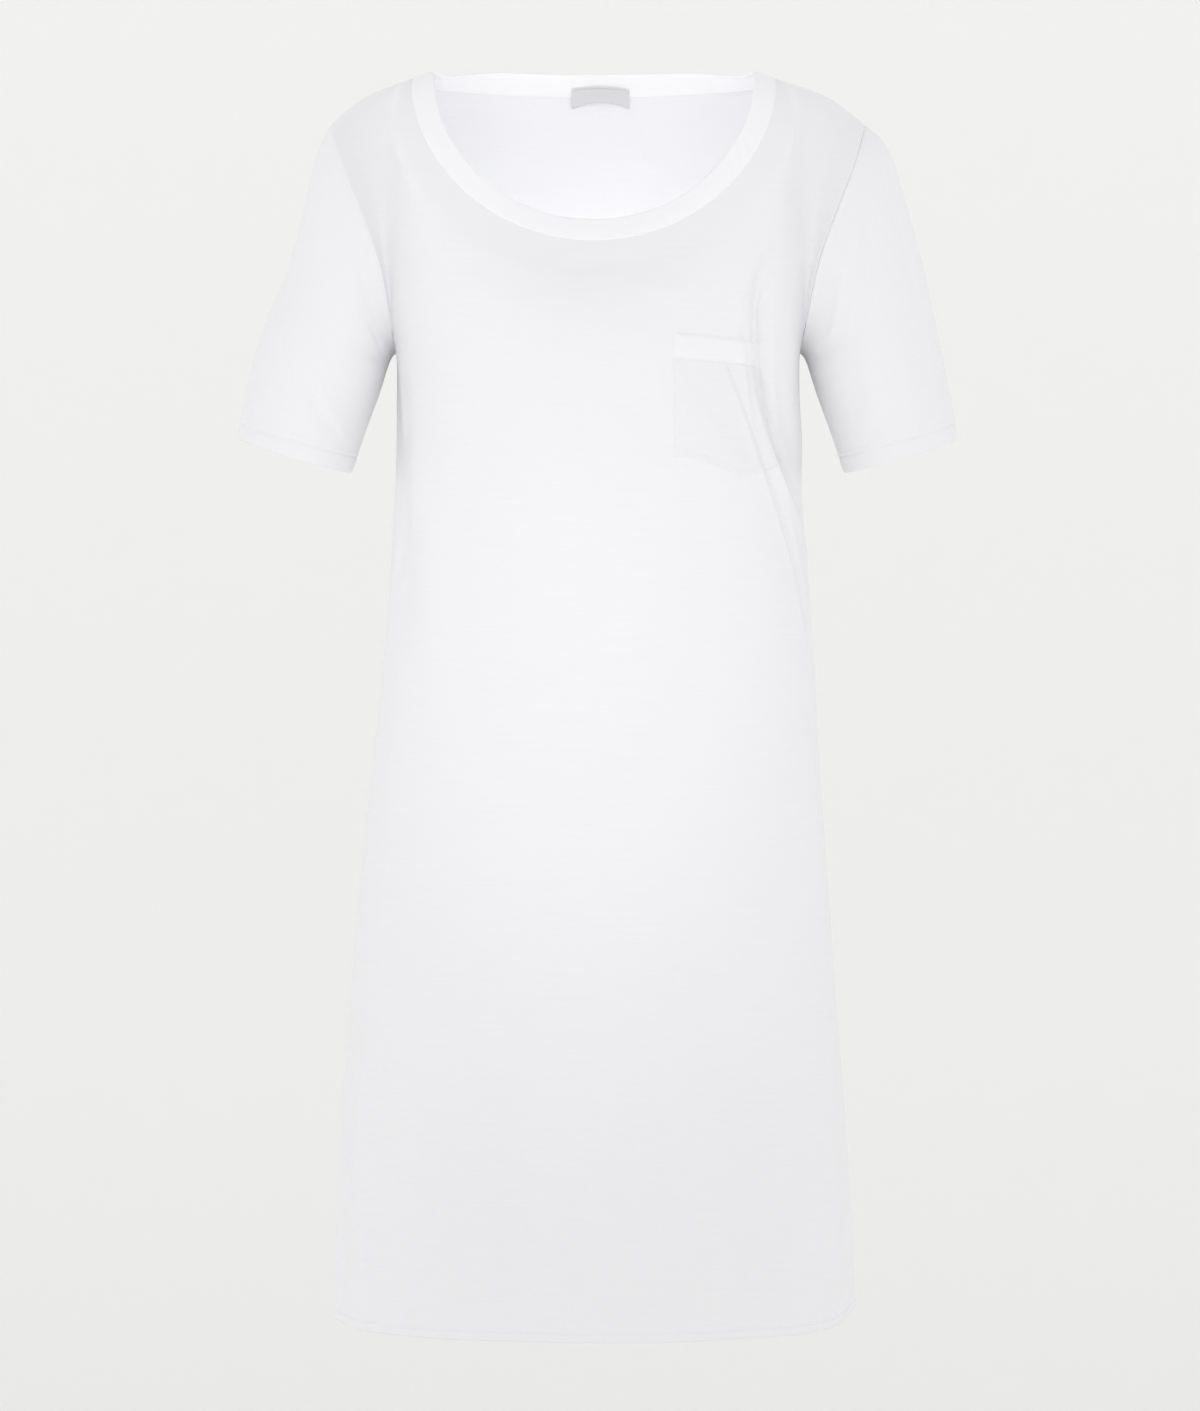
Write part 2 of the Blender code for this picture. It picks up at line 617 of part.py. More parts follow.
def patch(points, faces, cuts):
    """The part of a skin inside some cutting planes, each as (point, outward normal), as (points, normals, faces)."""
    own = sorted({v for face in faces for v in face})
    place = {v: k for k, v in enumerate(own)}
    shape = bmesh.new()
    verts = [shape.verts.new(points[v]) for v in own]
    for face in faces:
        shape.faces.new([verts[place[v]] for v in face])
    for spot, away in cuts:
        bmesh.ops.bisect_plane(
            shape, geom=shape.verts[:] + shape.edges[:] + shape.faces[:], dist=1e-6,
            plane_co=spot, plane_no=away, clear_outer=True)
    shape.normal_update()
    shape.verts.index_update()
    result = (
        np.array([v.co for v in shape.verts]),
        np.array([v.normal for v in shape.verts]),
        [tuple(v.index for v in f.verts) for f in shape.faces],
    )
    shape.free()
    return result


def edge_plane(x1, z1, x2, z2, inside, depth_way=(0.0, 1.0, 0.0), y1=0.0):
    """A plane through an edge drawn on the front and along a way into the cloth, facing away from (x, z) inside."""
    normal = np.cross((x2 - x1, 0.0, z2 - z1), depth_way)
    normal /= np.linalg.norm(normal)
    if (inside[0] - x1) * normal[0] + (inside[1] - z1) * normal[2] > 0:
        normal = -normal
    return (x1, y1, z1), tuple(normal)


def add_pocket(skin):
    """Breast pocket and its folded top band, laid on the front's own points and moved out."""
    points, _, faces, pieces = skin
    low, high = POCKET_CLOTH_LEVELS
    front = [f for f, p in zip(faces, pieces) if p == FRONT
             and points[list(f)][:, 0].min() > POCKET_CLOTH_FROM
             and low < points[list(f)][:, 2].mean() < high]
    x1, z1, x2, z2 = POCKET_TOP
    inner_x, foot_z, point_x, point_z, outer_x, outer_z = POCKET_FOOT
    middle = ((x1 + x2) / 2, (z1 + foot_z) / 2)
    outer_edge = edge_plane(*POCKET_OUTER_EDGE, middle, POCKET_OUTER_WAY, POCKET_OUTER_DEPTH)
    seam = (x1, z1 - POCKET_SEAM_DROP, x2, z2 - POCKET_SEAM_DROP)
    seam_below = (seam[0], seam[1] - POCKET_SEAM_GAP, seam[2], seam[3] - POCKET_SEAM_GAP)
    band_middle = (middle[0], z1 - POCKET_SEAM_DROP / 2)
    cuts = {
        "pocket_band": [
            edge_plane(*POCKET_TOP, band_middle),
            edge_plane(*seam, band_middle),
            edge_plane(x1, 0.0, x1, -1.0, middle),
            outer_edge,
        ],
        "pocket": [
            edge_plane(*seam_below, middle),
            edge_plane(POCKET_INNER_EDGE, 0.0, POCKET_INNER_EDGE, -1.0, middle),
            outer_edge,
            edge_plane(inner_x, foot_z, point_x, point_z, middle),
            edge_plane(point_x, point_z, outer_x, outer_z, middle),
        ],
    }
    thickness = {"pocket_band": POCKET_BAND_CLOTH, "pocket": POCKET_CLOTH}
    for name, planes in cuts.items():
        spots, normals, own = patch(points, front, planes)
        inner = spots + normals * LAY_GAP
        wall(name, inner + normals * thickness[name], inner, own)


def add_label(skin):
    """Blank label over the back neck seam, laid on the inside of the cloth."""
    points, _, faces, pieces = skin
    near = [f for f, p in zip(faces, pieces) if p in (BACK, BAND)
            and points[list(f)][:, 1].min() > 0
            and abs(points[list(f)][:, 0].mean()) < LABEL_CLOTH_WITHIN
            and points[list(f)][:, 2].min() > LABEL_CLOTH_ABOVE]
    spots, normals, own = patch(points, near, [
        ((0, 0, LABEL_TOP), (0, 0, 1)),
        ((0, 0, LABEL_FOOT), (0, 0, -1)),
        ((LABEL_HALF_WIDTH, 0, 0), (1, 0, 0)),
        ((-LABEL_HALF_WIDTH, 0, 0), (-1, 0, 0)),
    ])
    low = np.clip((LABEL_TOP - spots[:, 2]) / (LABEL_TOP - LABEL_FOOT), 0, 1)
    arch = LABEL_ARCH * low ** 4 * (1 - (spots[:, 0] / LABEL_HALF_WIDTH) ** 2)
    spots += arch[:, None] * BAND_LEAN_BACK
    outer = spots - normals * (BAND_CLOTH - BAND_PROUD + LABEL_GAP)
    wall("label", outer, outer - normals * LABEL_CLOTH, own)


def main():
    clear_scene()
    collection = bpy.data.collections.new("nightshirt")
    bpy.context.scene.collection.children.link(collection)
    points, normals, faces, pieces = rounded_skin(garment_cage(), SKIN_LEVELS)
    pressed = press_folds(points, normals, faces, pieces)
    skin = (pressed, skin_normals(pressed, faces, pieces), faces, pieces)
    for piece, moves in enumerate(seam_moves(pressed, faces, pieces)):
        cloth_piece(skin, piece, moves)
    add_pocket(skin)
    add_label(skin)


main()
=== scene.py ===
"""Looks of a short-sleeved nightshirt in white cotton jersey, worn and hollow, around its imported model.

Metres, +Z up, front towards -Y, the wearer's left towards +X, origin between the shoulder seams.
"""

import math

import bmesh
import bpy
import numpy as np
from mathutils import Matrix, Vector
from mathutils.bvhtree import BVHTree


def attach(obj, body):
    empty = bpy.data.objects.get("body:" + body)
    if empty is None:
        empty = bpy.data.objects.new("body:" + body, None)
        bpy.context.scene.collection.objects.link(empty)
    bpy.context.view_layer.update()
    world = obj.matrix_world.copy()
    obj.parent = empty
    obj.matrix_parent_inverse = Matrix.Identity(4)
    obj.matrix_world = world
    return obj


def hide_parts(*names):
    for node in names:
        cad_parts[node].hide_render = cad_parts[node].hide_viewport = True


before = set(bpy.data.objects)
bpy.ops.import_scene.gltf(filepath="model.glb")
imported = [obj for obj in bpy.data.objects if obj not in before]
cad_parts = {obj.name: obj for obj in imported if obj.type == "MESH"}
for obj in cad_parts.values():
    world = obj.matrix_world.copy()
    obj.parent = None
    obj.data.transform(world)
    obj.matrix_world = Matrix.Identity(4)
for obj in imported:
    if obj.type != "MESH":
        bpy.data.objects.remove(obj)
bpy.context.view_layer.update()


# Front and back
# Two cuts of single jersey, joined at the shoulders and down the sides. The lower edge is turned up once
# and sewn 6 mm above the fold, which draws it into small puckers.

# Every piece is cut from one close block for body, sleeves and neck. It is drawn here as rings of points,
# rounded by Subdivision Surface, and read back as one grid of points a piece.
SIDE_COLUMN = 10
NECK_COLUMN = 7
UPPER_ROWS = 7
BAND_ROWS = 2
FIT_ROUNDS = 12
GRID_LEVELS = 3
GRID_STEPS = 2 ** GRID_LEVELS

HEM_LEVEL = -0.909
SIDE_RISE_LEFT = 0.0120
SIDE_RISE_RIGHT = 0.0010
SIDE_RISE_REACH = 0.20
BUST_LEVEL = -0.240
ARMPIT = (0.1475, -0.205)
ARMPIT_LIFT_REACH = 0.09
ARMPIT_LIFT_START = 0.55
SHOULDER = (0.1940, -0.0385)
SHOULDER_CROWN = 0.0062
CROWN_PLACE = 1.3
ARMHOLE_REACH = 0.062
BACK_ARMHOLE_EASE = 0.006
CUFF_TILT = 0.0045

NECK_HALF_WIDTH = 0.132
NECK_SHIFT = -0.003
NECK_POINT_LEVEL = -0.005
FRONT_NECK_LEVEL = -0.132
FRONT_NECK_REACH = 0.092
BACK_NECK_LEVEL = -0.009
BACK_NECK_REACH = 0.064
BACK_NECK_FLATNESS = 0.9
NECK_ROUNDNESS = 2.2
NECK_RUN = 0.196
NECK_STEPS = 400
NECK_CORNER_REACH = 0.6
BAND_WIDTH = 0.0176
BAND_LEAN_FRONT = (0.0, 0.42, 0.91)
BAND_LEAN_SIDE = (-0.95, 0.0, 0.30)
BAND_LEAN_BACK = (0.0, -0.45, 0.89)

SECTION_COLUMNS = ("level", "right", "left", "front", "back", "squareness")
BODY_SECTIONS = (
    (-0.909, 0.1915, 0.1885, 0.132, 0.121, 2.15),
    (-0.805, 0.1890, 0.1840, 0.130, 0.118, 2.15),
    (-0.716, 0.1832, 0.1765, 0.127, 0.114, 2.20),
    (-0.604, 0.1755, 0.1690, 0.123, 0.110, 2.20),
    (-0.507, 0.1643, 0.1620, 0.120, 0.104, 2.25),
    (-0.418, 0.1555, 0.1570, 0.119, 0.099, 2.30),
    (-0.349, 0.1497, 0.1518, 0.120, 0.097, 2.30),
    (-0.283, 0.1465, 0.1470, 0.122, 0.098, 2.30),
    (-0.205, 0.1470, 0.1470, 0.121, 0.103, 2.30),
)
ROW_LEVELS = (
    -0.909, -0.890, -0.842, -0.762, -0.672, -0.580, -0.490, -0.410, -0.348, -0.302, -0.268, BUST_LEVEL,
)
ARMHOLE_COLUMNS = ("level", "across")
ARMHOLE_LINE = (
    (-0.2050, 0.1475),
    (-0.1882, 0.1485),
    (-0.1667, 0.1529),
    (-0.1441, 0.1573),
    (-0.1218, 0.1649),
    (-0.0992, 0.1737),
    (-0.0791, 0.1818),
    (-0.0608, 0.1880),
    (-0.0385, 0.1940),
)
SLEEVE_COLUMNS = ("outer", "outer_level", "inner", "inner_level", "half_depth", "forward", "right_slimmer")
SLEEVE_RINGS = (
    (0.2115, -0.0565, 0.1510, -0.2095, 0.0635, 0.000, 0.0080),
    (0.2230, -0.0900, 0.1548, -0.2200, 0.0640, 0.001, 0.0105),
    (0.2330, -0.1260, 0.1585, -0.2325, 0.0625, 0.003, 0.0125),
    (0.2412, -0.1620, 0.1628, -0.2450, 0.0605, 0.005, 0.0085),
    (0.2490, -0.1990, 0.1675, -0.2580, 0.0580, 0.006, 0.0015),
    (0.2598, -0.2520, 0.1748, -0.2790, 0.0560, 0.007, 0.0000),
    (0.2612, -0.2685, 0.1795, -0.2930, 0.0558, 0.007, 0.0000),
)
PIECES = ("front", "back", "sleeve_left", "sleeve_right", "neckband")


def path_run(points):
    """Distance of each point of a line from its first point, along the line."""
    return np.concatenate([[0.0], np.cumsum(np.linalg.norm(np.diff(points, axis=0), axis=1))])


def by_column(names, rows):
    """A table's columns as arrays, by their names."""
    return dict(zip(names, np.array(rows).T))


def section(level):
    """The body's section at a level, as a dict of its named columns."""
    table = by_column(SECTION_COLUMNS, BODY_SECTIONS)
    return {name: float(np.interp(level, table["level"], table[name])) for name in SECTION_COLUMNS}


def ring_point(column, level, face):
    """A point of the body's ring at a column, on the front (face -1) or the back (face 1)."""
    cut = section(level)
    turn = abs(column) / SIDE_COLUMN * math.pi / 2
    power = 2 / cut["squareness"]
    reach = cut["left"] if column > 0 else cut["right"]
    depth = cut["front"] if face < 0 else cut["back"]
    across = math.copysign(reach * math.sin(turn) ** power, column)
    return np.array((across, face * depth * max(math.cos(turn), 0.0) ** power, level))


def hem_rise(across):
    """Rise of the hem at a share of the quarter turn from the centre line to a side seam."""
    rise = np.where(np.asarray(across) > 0, SIDE_RISE_LEFT, SIDE_RISE_RIGHT)
    return rise * np.maximum(0.0, 2 * np.abs(across) - 1) ** 2


def row_level(row, column):
    """Level of a row at a column: it lifts to the armpit at the side, and follows the hem below."""
    level = ROW_LEVELS[row]
    across = column / SIDE_COLUMN
    hem_share = max(0.0, 1 - (level - HEM_LEVEL) / SIDE_RISE_REACH)
    arm_share = max(0.0, 1 - (BUST_LEVEL - level) / ARMPIT_LIFT_REACH)
    arm_turn = max(0.0, (abs(across) - ARMPIT_LIFT_START) / (1 - ARMPIT_LIFT_START))
    return level + hem_rise(across) * hem_share + (ARMPIT[1] - BUST_LEVEL) * arm_share * arm_turn ** 2


def armhole_point(side, face, share):
    """A point of the armhole seam, from the armpit (share 0) over the front or back to the shoulder."""
    turn = math.pi * (share - 0.5)
    middle, half = (SHOULDER[1] + ARMPIT[1]) / 2, (SHOULDER[1] - ARMPIT[1]) / 2
    level = middle + half * math.sin(turn)
    line = by_column(ARMHOLE_COLUMNS, ARMHOLE_LINE)
    across = float(np.interp(level, line["level"], line["across"]))
    if face > 0:
        across += BACK_ARMHOLE_EASE * math.cos(turn)
    return np.array((side * across, face * ARMHOLE_REACH * math.cos(turn), level))


def neck_curve(turn, face):
    """A point of the neck seam, at a turn from the centre line (0) to the shoulder seam (a right angle)."""
    if face > 0:
        level = BACK_NECK_LEVEL + (NECK_POINT_LEVEL - BACK_NECK_LEVEL) * (1 - math.cos(turn))
        reach = BACK_NECK_REACH * max(math.cos(turn), 0.0) ** BACK_NECK_FLATNESS
    else:
        level = FRONT_NECK_LEVEL + (NECK_POINT_LEVEL - FRONT_NECK_LEVEL) * (1 - math.cos(turn))
        drop = min(1.0, max(0.0, NECK_POINT_LEVEL - level) / NECK_RUN)
        reach = -FRONT_NECK_REACH * (1 - (1 - drop) ** NECK_ROUNDNESS) ** (1 / NECK_ROUNDNESS)
    return np.array((NECK_HALF_WIDTH * math.sin(turn), reach, level))


def neck_points(face):
    """The neck seam's points by column, evenly spaced along it on each side of the centre line."""
    fine = np.array([neck_curve(turn, face) for turn in np.linspace(0, math.pi / 2, NECK_STEPS)])
    run = path_run(fine)
    spots = {}
    for column in range(NECK_COLUMN + 1):
        x, y, z = (np.interp(run[-1] * column / NECK_COLUMN, run, fine[:, k]) for k in range(3))
        spots[column] = np.array((NECK_SHIFT + x, y, z))
        spots[-column] = np.array((NECK_SHIFT - x, y, z))
    return spots


def band_point(seam, share):
    """A point of the neckband, at a share of the way from the neck seam to the band's folded edge."""
    x, y, _ = seam
    sideways = abs(x - NECK_SHIFT) / NECK_HALF_WIDTH
    endways = abs(y) / (FRONT_NECK_REACH if y < 0 else BACK_NECK_REACH)
    side_share = sideways ** 2 / (sideways ** 2 + endways ** 2)
    side_lean = np.array(BAND_LEAN_SIDE) * (math.copysign(1, x), 1, 1)
    end_lean = np.array(BAND_LEAN_FRONT if y < 0 else BAND_LEAN_BACK)
    lean = side_share * side_lean + (1 - side_share) * end_lean
    return np.array(seam) + lean / np.linalg.norm(lean) * BAND_WIDTH * share


def shoulder_point(side, neck, part):
    """A point of the shoulder seam, at a part of the way from the neck point to the armhole."""
    crown = SHOULDER_CROWN * math.sin(math.pi * part ** CROWN_PLACE)
    return neck + (armhole_point(side, -1, 1.0) - neck) * part + (0, 0, crown)


def sleeve_point(side, ring, face, share):
    """A point of a sleeve's ring, at a share of the way from its inner line to its outer line."""
    row = dict(zip(SLEEVE_COLUMNS, SLEEVE_RINGS[ring]))
    turn = math.pi * (share - 0.5)
    outer = np.array((row["outer"] - (row["right_slimmer"] if side < 0 else 0), row["outer_level"]))
    inner = np.array((row["inner"], row["inner_level"]))
    across, level = (outer + inner) / 2 + (outer - inner) / 2 * math.sin(turn)
    seam = armhole_point(1, face, share)
    plain = (np.array(SHOULDER) + ARMPIT) / 2 + (np.array(SHOULDER) - ARMPIT) / 2 * math.sin(turn)
    fade = (1 - (ring + 1) / len(SLEEVE_RINGS)) ** 2
    across += fade * (seam[0] - plain[0])
    level += face * CUFF_TILT * math.cos(turn) * ((ring + 1) / len(SLEEVE_RINGS)) ** 2
    return np.array((side * across, face * row["half_depth"] * math.cos(turn) - row["forward"], level))


class Block:
    """Points and faces of the block, with the piece and the grid place of each face."""

    def __init__(self):
        self.points, self.faces, self.pieces, self.places, self.creased = [], [], [], [], set()

    def add(self, point):
        self.points.append(tuple(float(x) for x in point))
        return len(self.points) - 1

    def strip(self, low, high, piece, row):
        """Faces between two rows of points with the same count, as row number row of the piece's grid."""
        for k in range(len(low) - 1):
            self.faces.append((low[k], low[k + 1], high[k + 1], high[k]))
            self.pieces.append(PIECES.index(piece))
            self.places.append(((k, row), (k + 1, row), (k + 1, row + 1), (k, row + 1)))


def body_rows(block):
    """Front and back rows of point numbers, hem first, with the free points and those kept smooth."""
    columns = list(range(-SIDE_COLUMN, SIDE_COLUMN + 1))
    front, back = [], []
    for row in range(len(ROW_LEVELS)):
        front.append({c: block.add(ring_point(c, row_level(row, c), -1)) for c in columns})
        back.append({c: front[-1][c] if abs(c) == SIDE_COLUMN
                     else block.add(ring_point(c, row_level(row, c), 1)) for c in columns})
    free, smooth = [], [front[-1][c] for c in columns[1:-1]] + [back[-1][c] for c in columns[1:-1]]
    necks = {face: neck_points(face) for face in (-1, 1)}
    for row in range(1, UPPER_ROWS):
        for face, rows in ((-1, front), (1, back)):
            rows.append({c: block.add((0, 0, 0)) for c in columns[1:-1]})
            for column, number in rows[-1].items():
                away = NECK_COLUMN - abs(column)
                if row == UPPER_ROWS - 1 and away > 0:
                    reach = min(1.0, NECK_CORNER_REACH * away)
                    block.points[number] = tuple(band_point(necks[face][column], -reach))
                    smooth.append(number)
                else:
                    free.append(number)
            for side in (-1, 1):
                rows[-1][side * SIDE_COLUMN] = block.add(armhole_point(side, face, row / UPPER_ROWS))
    front.append({c: block.add(point) for c, point in necks[-1].items()})
    back.append({c: block.add(point) for c, point in necks[1].items() if abs(c) < NECK_COLUMN})
    for side in (-1, 1):
        neck = np.array(block.points[front[-1][side * NECK_COLUMN]])
        for column in range(NECK_COLUMN, SIDE_COLUMN + 1):
            if column > NECK_COLUMN:
                part = (column - NECK_COLUMN) / (SIDE_COLUMN - NECK_COLUMN)
                front[-1][side * column] = block.add(shoulder_point(side, neck, part))
            back[-1][side * column] = front[-1][side * column]
            if NECK_COLUMN < column < SIDE_COLUMN:
                smooth.append(front[-1][side * column])
    return front, back, free, smooth + free


def settle(block, free, smooth):
    """Settles the free points as a thin plate would, so that each smooth point lies amid its neighbours."""
    near = {v: set() for v in smooth}
    for face in block.faces:
        for a, b in zip(face, face[1:] + face[:1]):
            for one, other in ((a, b), (b, a)):
                if one in near:
                    near[one].add(other)
    place = {v: k for k, v in enumerate(free)}
    sums = np.zeros((len(smooth), len(free)))
    held = np.zeros((len(smooth), 3))
    for row, v in enumerate(smooth):
        for other, weight in [(v, 1.0)] + [(n, -1 / len(near[v])) for n in near[v]]:
            if other in place:
                sums[row, place[other]] += weight
            else:
                held[row] -= weight * np.array(block.points[other])
    for v, point in zip(free, np.linalg.lstsq(sums, held, rcond=None)[0]):
        block.points[v] = tuple(point)


def drafted_block():
    block = Block()
    front, back, free, smooth = body_rows(block)
    columns = list(range(-SIDE_COLUMN, SIDE_COLUMN + 1))
    for row in range(len(front) - 1):
        block.strip([front[row][c] for c in columns], [front[row + 1][c] for c in columns], "front", row)
        columns.reverse()
        block.strip([back[row][c] for c in columns], [back[row + 1][c] for c in columns], "back", row)
        columns.reverse()
    settle(block, free, smooth)
    first = len(ROW_LEVELS) - 1
    for side, piece in ((1, "sleeve_left"), (-1, "sleeve_right")):
        edge = side * SIDE_COLUMN
        loop = [front[first + k][edge] for k in range(UPPER_ROWS + 1)]
        loop += [back[first + k][edge] for k in range(UPPER_ROWS - 1, -1, -1)]
        places = [(-1, k / UPPER_ROWS) for k in range(UPPER_ROWS + 1)]
        places += [(1, k / UPPER_ROWS) for k in range(UPPER_ROWS - 1, 0, -1)]
        block.creased |= {frozenset(pair) for pair in zip(loop, loop[1:])}
        for ring in range(len(SLEEVE_RINGS)):
            new = [block.add(sleeve_point(side, ring, face, share)) for face, share in places]
            new.append(new[0])
            block.strip(loop, new, piece, ring)
            loop = new
    loop = [front[-1][c] for c in range(-NECK_COLUMN, NECK_COLUMN + 1)]
    loop += [back[-1][c] for c in range(NECK_COLUMN - 1, -NECK_COLUMN - 1, -1)]
    seam = [block.points[k] for k in loop[:-1]]
    for row in range(BAND_ROWS):
        new = [block.add(band_point(point, (row + 1) / BAND_ROWS)) for point in seam]
        new.append(new[0])
        block.strip(loop, new, "neckband", row)
        loop = new
    return block


def placed(name, data):
    """A new object with some data, put into the scene."""
    made = bpy.data.objects.new(name, data)
    bpy.context.scene.collection.objects.link(made)
    return made


def evaluated(made):
    """An object as its modifiers leave it."""
    bpy.context.view_layer.update()
    return made.evaluated_get(bpy.context.evaluated_depsgraph_get())


def field(items, name, width, kind=float):
    """One field of all of a mesh's items, as an array with a row for each item."""
    values = np.empty(len(items) * width, kind)
    items.foreach_get(name, values)
    return values.reshape(-1, width)


def block_points(skin):
    """Points of the block with its modifiers."""
    seen = evaluated(skin)
    points = field(seen.to_mesh().vertices, "co", 3)
    seen.to_mesh_clear()
    return points


def piece_grids(block):
    """The rounded block, passing through its own points, as one array (row, column, xyz) for each piece."""
    mesh = bpy.data.meshes.new("block")
    mesh.from_pydata(block.points, [], block.faces)
    mesh.polygons.foreach_set("material_index", block.pieces)
    for name in PIECES:
        mesh.materials.append(bpy.data.materials.new(name))
    places = mesh.uv_layers.new(name="place")
    places.data.foreach_set("uv", np.array(block.places, float).ravel())
    creases = mesh.attributes.new("crease_edge", "FLOAT", "EDGE")
    for edge, crease in zip(mesh.edges, creases.data):
        crease.value = float(frozenset(edge.vertices) in block.creased)
    shape = bmesh.new()
    shape.from_mesh(mesh)
    bmesh.ops.recalc_face_normals(shape, faces=shape.faces)
    shape.to_mesh(mesh)
    shape.free()
    skin = placed("block", mesh)
    smooth = skin.modifiers.new("round", "SUBSURF")
    smooth.uv_smooth = "NONE"
    smooth.levels = smooth.render_levels = 1
    target = np.array(block.points)
    cage = target.copy()
    for _ in range(FIT_ROUNDS):
        cage += target - block_points(skin)[: len(target)]
        mesh.vertices.foreach_set("co", cage.ravel())
        mesh.update()
    smooth.levels = smooth.render_levels = GRID_LEVELS
    seen = evaluated(skin)
    fine = seen.to_mesh()
    points = field(fine.vertices, "co", 3)
    corners = field(fine.loops, "vertex_index", 1, int)[:, 0]
    spots = np.rint(field(fine.uv_layers["place"].data, "uv", 2) * GRID_STEPS).astype(int)
    owners = np.repeat(field(fine.polygons, "material_index", 1, int)[:, 0], 4)
    seen.to_mesh_clear()
    bpy.data.objects.remove(skin)
    grids = {}
    for number, name in enumerate(PIECES):
        own = owners == number
        column, row = spots[own].T
        grid = np.zeros((row.max() + 1, column.max() + 1, 3))
        grid[row, column] = points[corners[own]]
        grids[name] = grid
    grids["sleeve_left"] = grids["sleeve_left"][:, ::-1]
    return grids


grids = piece_grids(drafted_block())


# Single jersey falls in a few long soft folds from the bust and the hips, with short creases where it turns
# under the arms. Each fold has a row of its own: three places on the cloth, depth, width and steeper side.
QUARTER_CLOTH = 0.215
CALM_REACH = 0.025
RIDGE_HEIGHT = 0.35
RIDGE_PLACE = 1.9
FOLD_STEPS = 24
FOLD_END = 0.08
FOLD_FADE = 0.7
GRADING = 4000
GRADING_BLEND = 6
FOLD_COLUMNS = ("across_1", "along_1", "across_2", "along_2", "across_3", "along_3", "depth", "width", "lean")


def outward(grid):
    """Unit normals of a grid of points."""
    normals = np.cross(np.gradient(grid, axis=1), np.gradient(grid, axis=0))
    return normals / np.linalg.norm(normals, axis=2)[..., None]


def runs(grid, axis):
    """Distance over a grid's longest way, for each row (axis 0) or column (axis 1)."""
    steps = np.linalg.norm(np.diff(grid, axis=axis), axis=2).max(axis=1 - axis)
    return np.concatenate([[0.0], np.cumsum(steps)])


def respaced(grid, axis, spots):
    """The grid's rows (axis 0) or columns (axis 1) at other distances along it, on smooth curves."""
    run = runs(grid, axis)
    place = np.interp(spots, run, np.arange(len(run)))
    low = np.minimum(place.astype(int), len(run) - 2)
    part = (place - low).reshape((-1, 1, 1) if axis == 0 else (1, -1, 1))
    before, here, after, beyond = (
        np.take(grid, np.clip(low + k, 0, len(run) - 1), axis) for k in (-1, 0, 1, 2))
    bend = 3 * (here - after) + beyond - before
    turn = 2 * before - 5 * here + 4 * after - beyond
    return here + part / 2 * (after - before + part * (turn + part * bend))


def graded(length, coarse, *finer):
    """Distances along a length in coarse steps, and in finer ones within stretches (start, end, step)."""
    at = np.linspace(0, length, GRADING)
    steps = np.full(GRADING, 1 / coarse)
    for start, end, step in finer:
        blend = step * GRADING_BLEND
        inside = smooth_step((at - start) / blend + 1) * smooth_step((end - at) / blend + 1)
        steps = np.maximum(steps, 1 / coarse + (1 / step - 1 / coarse) * inside)
    count = np.concatenate([[0.0], np.cumsum((steps[1:] + steps[:-1]) / 2 * np.diff(at))])
    return np.interp(np.linspace(0, count[-1], math.ceil(count[-1]) + 1), count, at)


def fold_line(row, cloth):
    """A fold's line on the laid-out cloth, as points (across, along)."""
    one, two, three = (np.array((row[f"across_{k}"] * cloth, row[f"along_{k}"])) for k in (1, 2, 3))
    share = np.linspace(0, 1, FOLD_STEPS)[:, None]
    return (1 - share) * ((1 - share) * one + share * two) + share * ((1 - share) * two + share * three)


def fold_depths(places, folds, cloth):
    """How deep folds press each of a piece's points: soft troughs, each with a low ridge beside it."""
    across, along = places
    flat = np.stack([across, along], axis=-1)
    depth = np.zeros(across.shape)
    for fold in folds:
        row = dict(zip(FOLD_COLUMNS, fold))
        line = fold_line(row, cloth)
        ways = np.gradient(line, axis=0)
        gaps = flat[..., None, :] - line
        nearest = np.linalg.norm(gaps, axis=3).argmin(axis=2)
        gap = np.take_along_axis(gaps, nearest[..., None, None], axis=2)[..., 0, :]
        step = np.linalg.norm(ways[nearest], axis=2)
        way = ways[nearest] / step[..., None]
        beside = way[..., 0] * gap[..., 1] - way[..., 1] * gap[..., 0]
        ahead = (way * gap).sum(axis=2)
        past = ahead - np.clip(ahead, -step / 2, step / 2)
        side = np.tanh(beside / (row["width"] / 2))
        aside = np.hypot(beside, past) / (row["width"] * (1 + row["lean"] * side))
        share = np.clip((nearest + (ahead - past) / step) / (FOLD_STEPS - 1), 0, 1)
        ends = np.sin(np.pi * (FOLD_END + (1 - 2 * FOLD_END) * share)) ** FOLD_FADE
        ridges = RIDGE_HEIGHT * np.exp(-((aside - RIDGE_PLACE) ** 2))
        depth += row["depth"] * ends * (np.exp(-aside ** 2) - ridges)
    return depth


def smooth_step(share):
    share = np.clip(share, 0, 1)
    return share ** 2 * (3 - 2 * share)


def away_from(grid, seam):
    """Distance of each point of a grid from the nearest of a seam's points."""
    away = np.full(grid.shape[:2], np.inf)
    for point in seam:
        away = np.minimum(away, np.linalg.norm(grid - point, axis=2))
    return away


def hump(distance, middle, width):
    """A bell of height 1 about a middle distance."""
    return np.exp(-(((distance - middle) / width) ** 2))


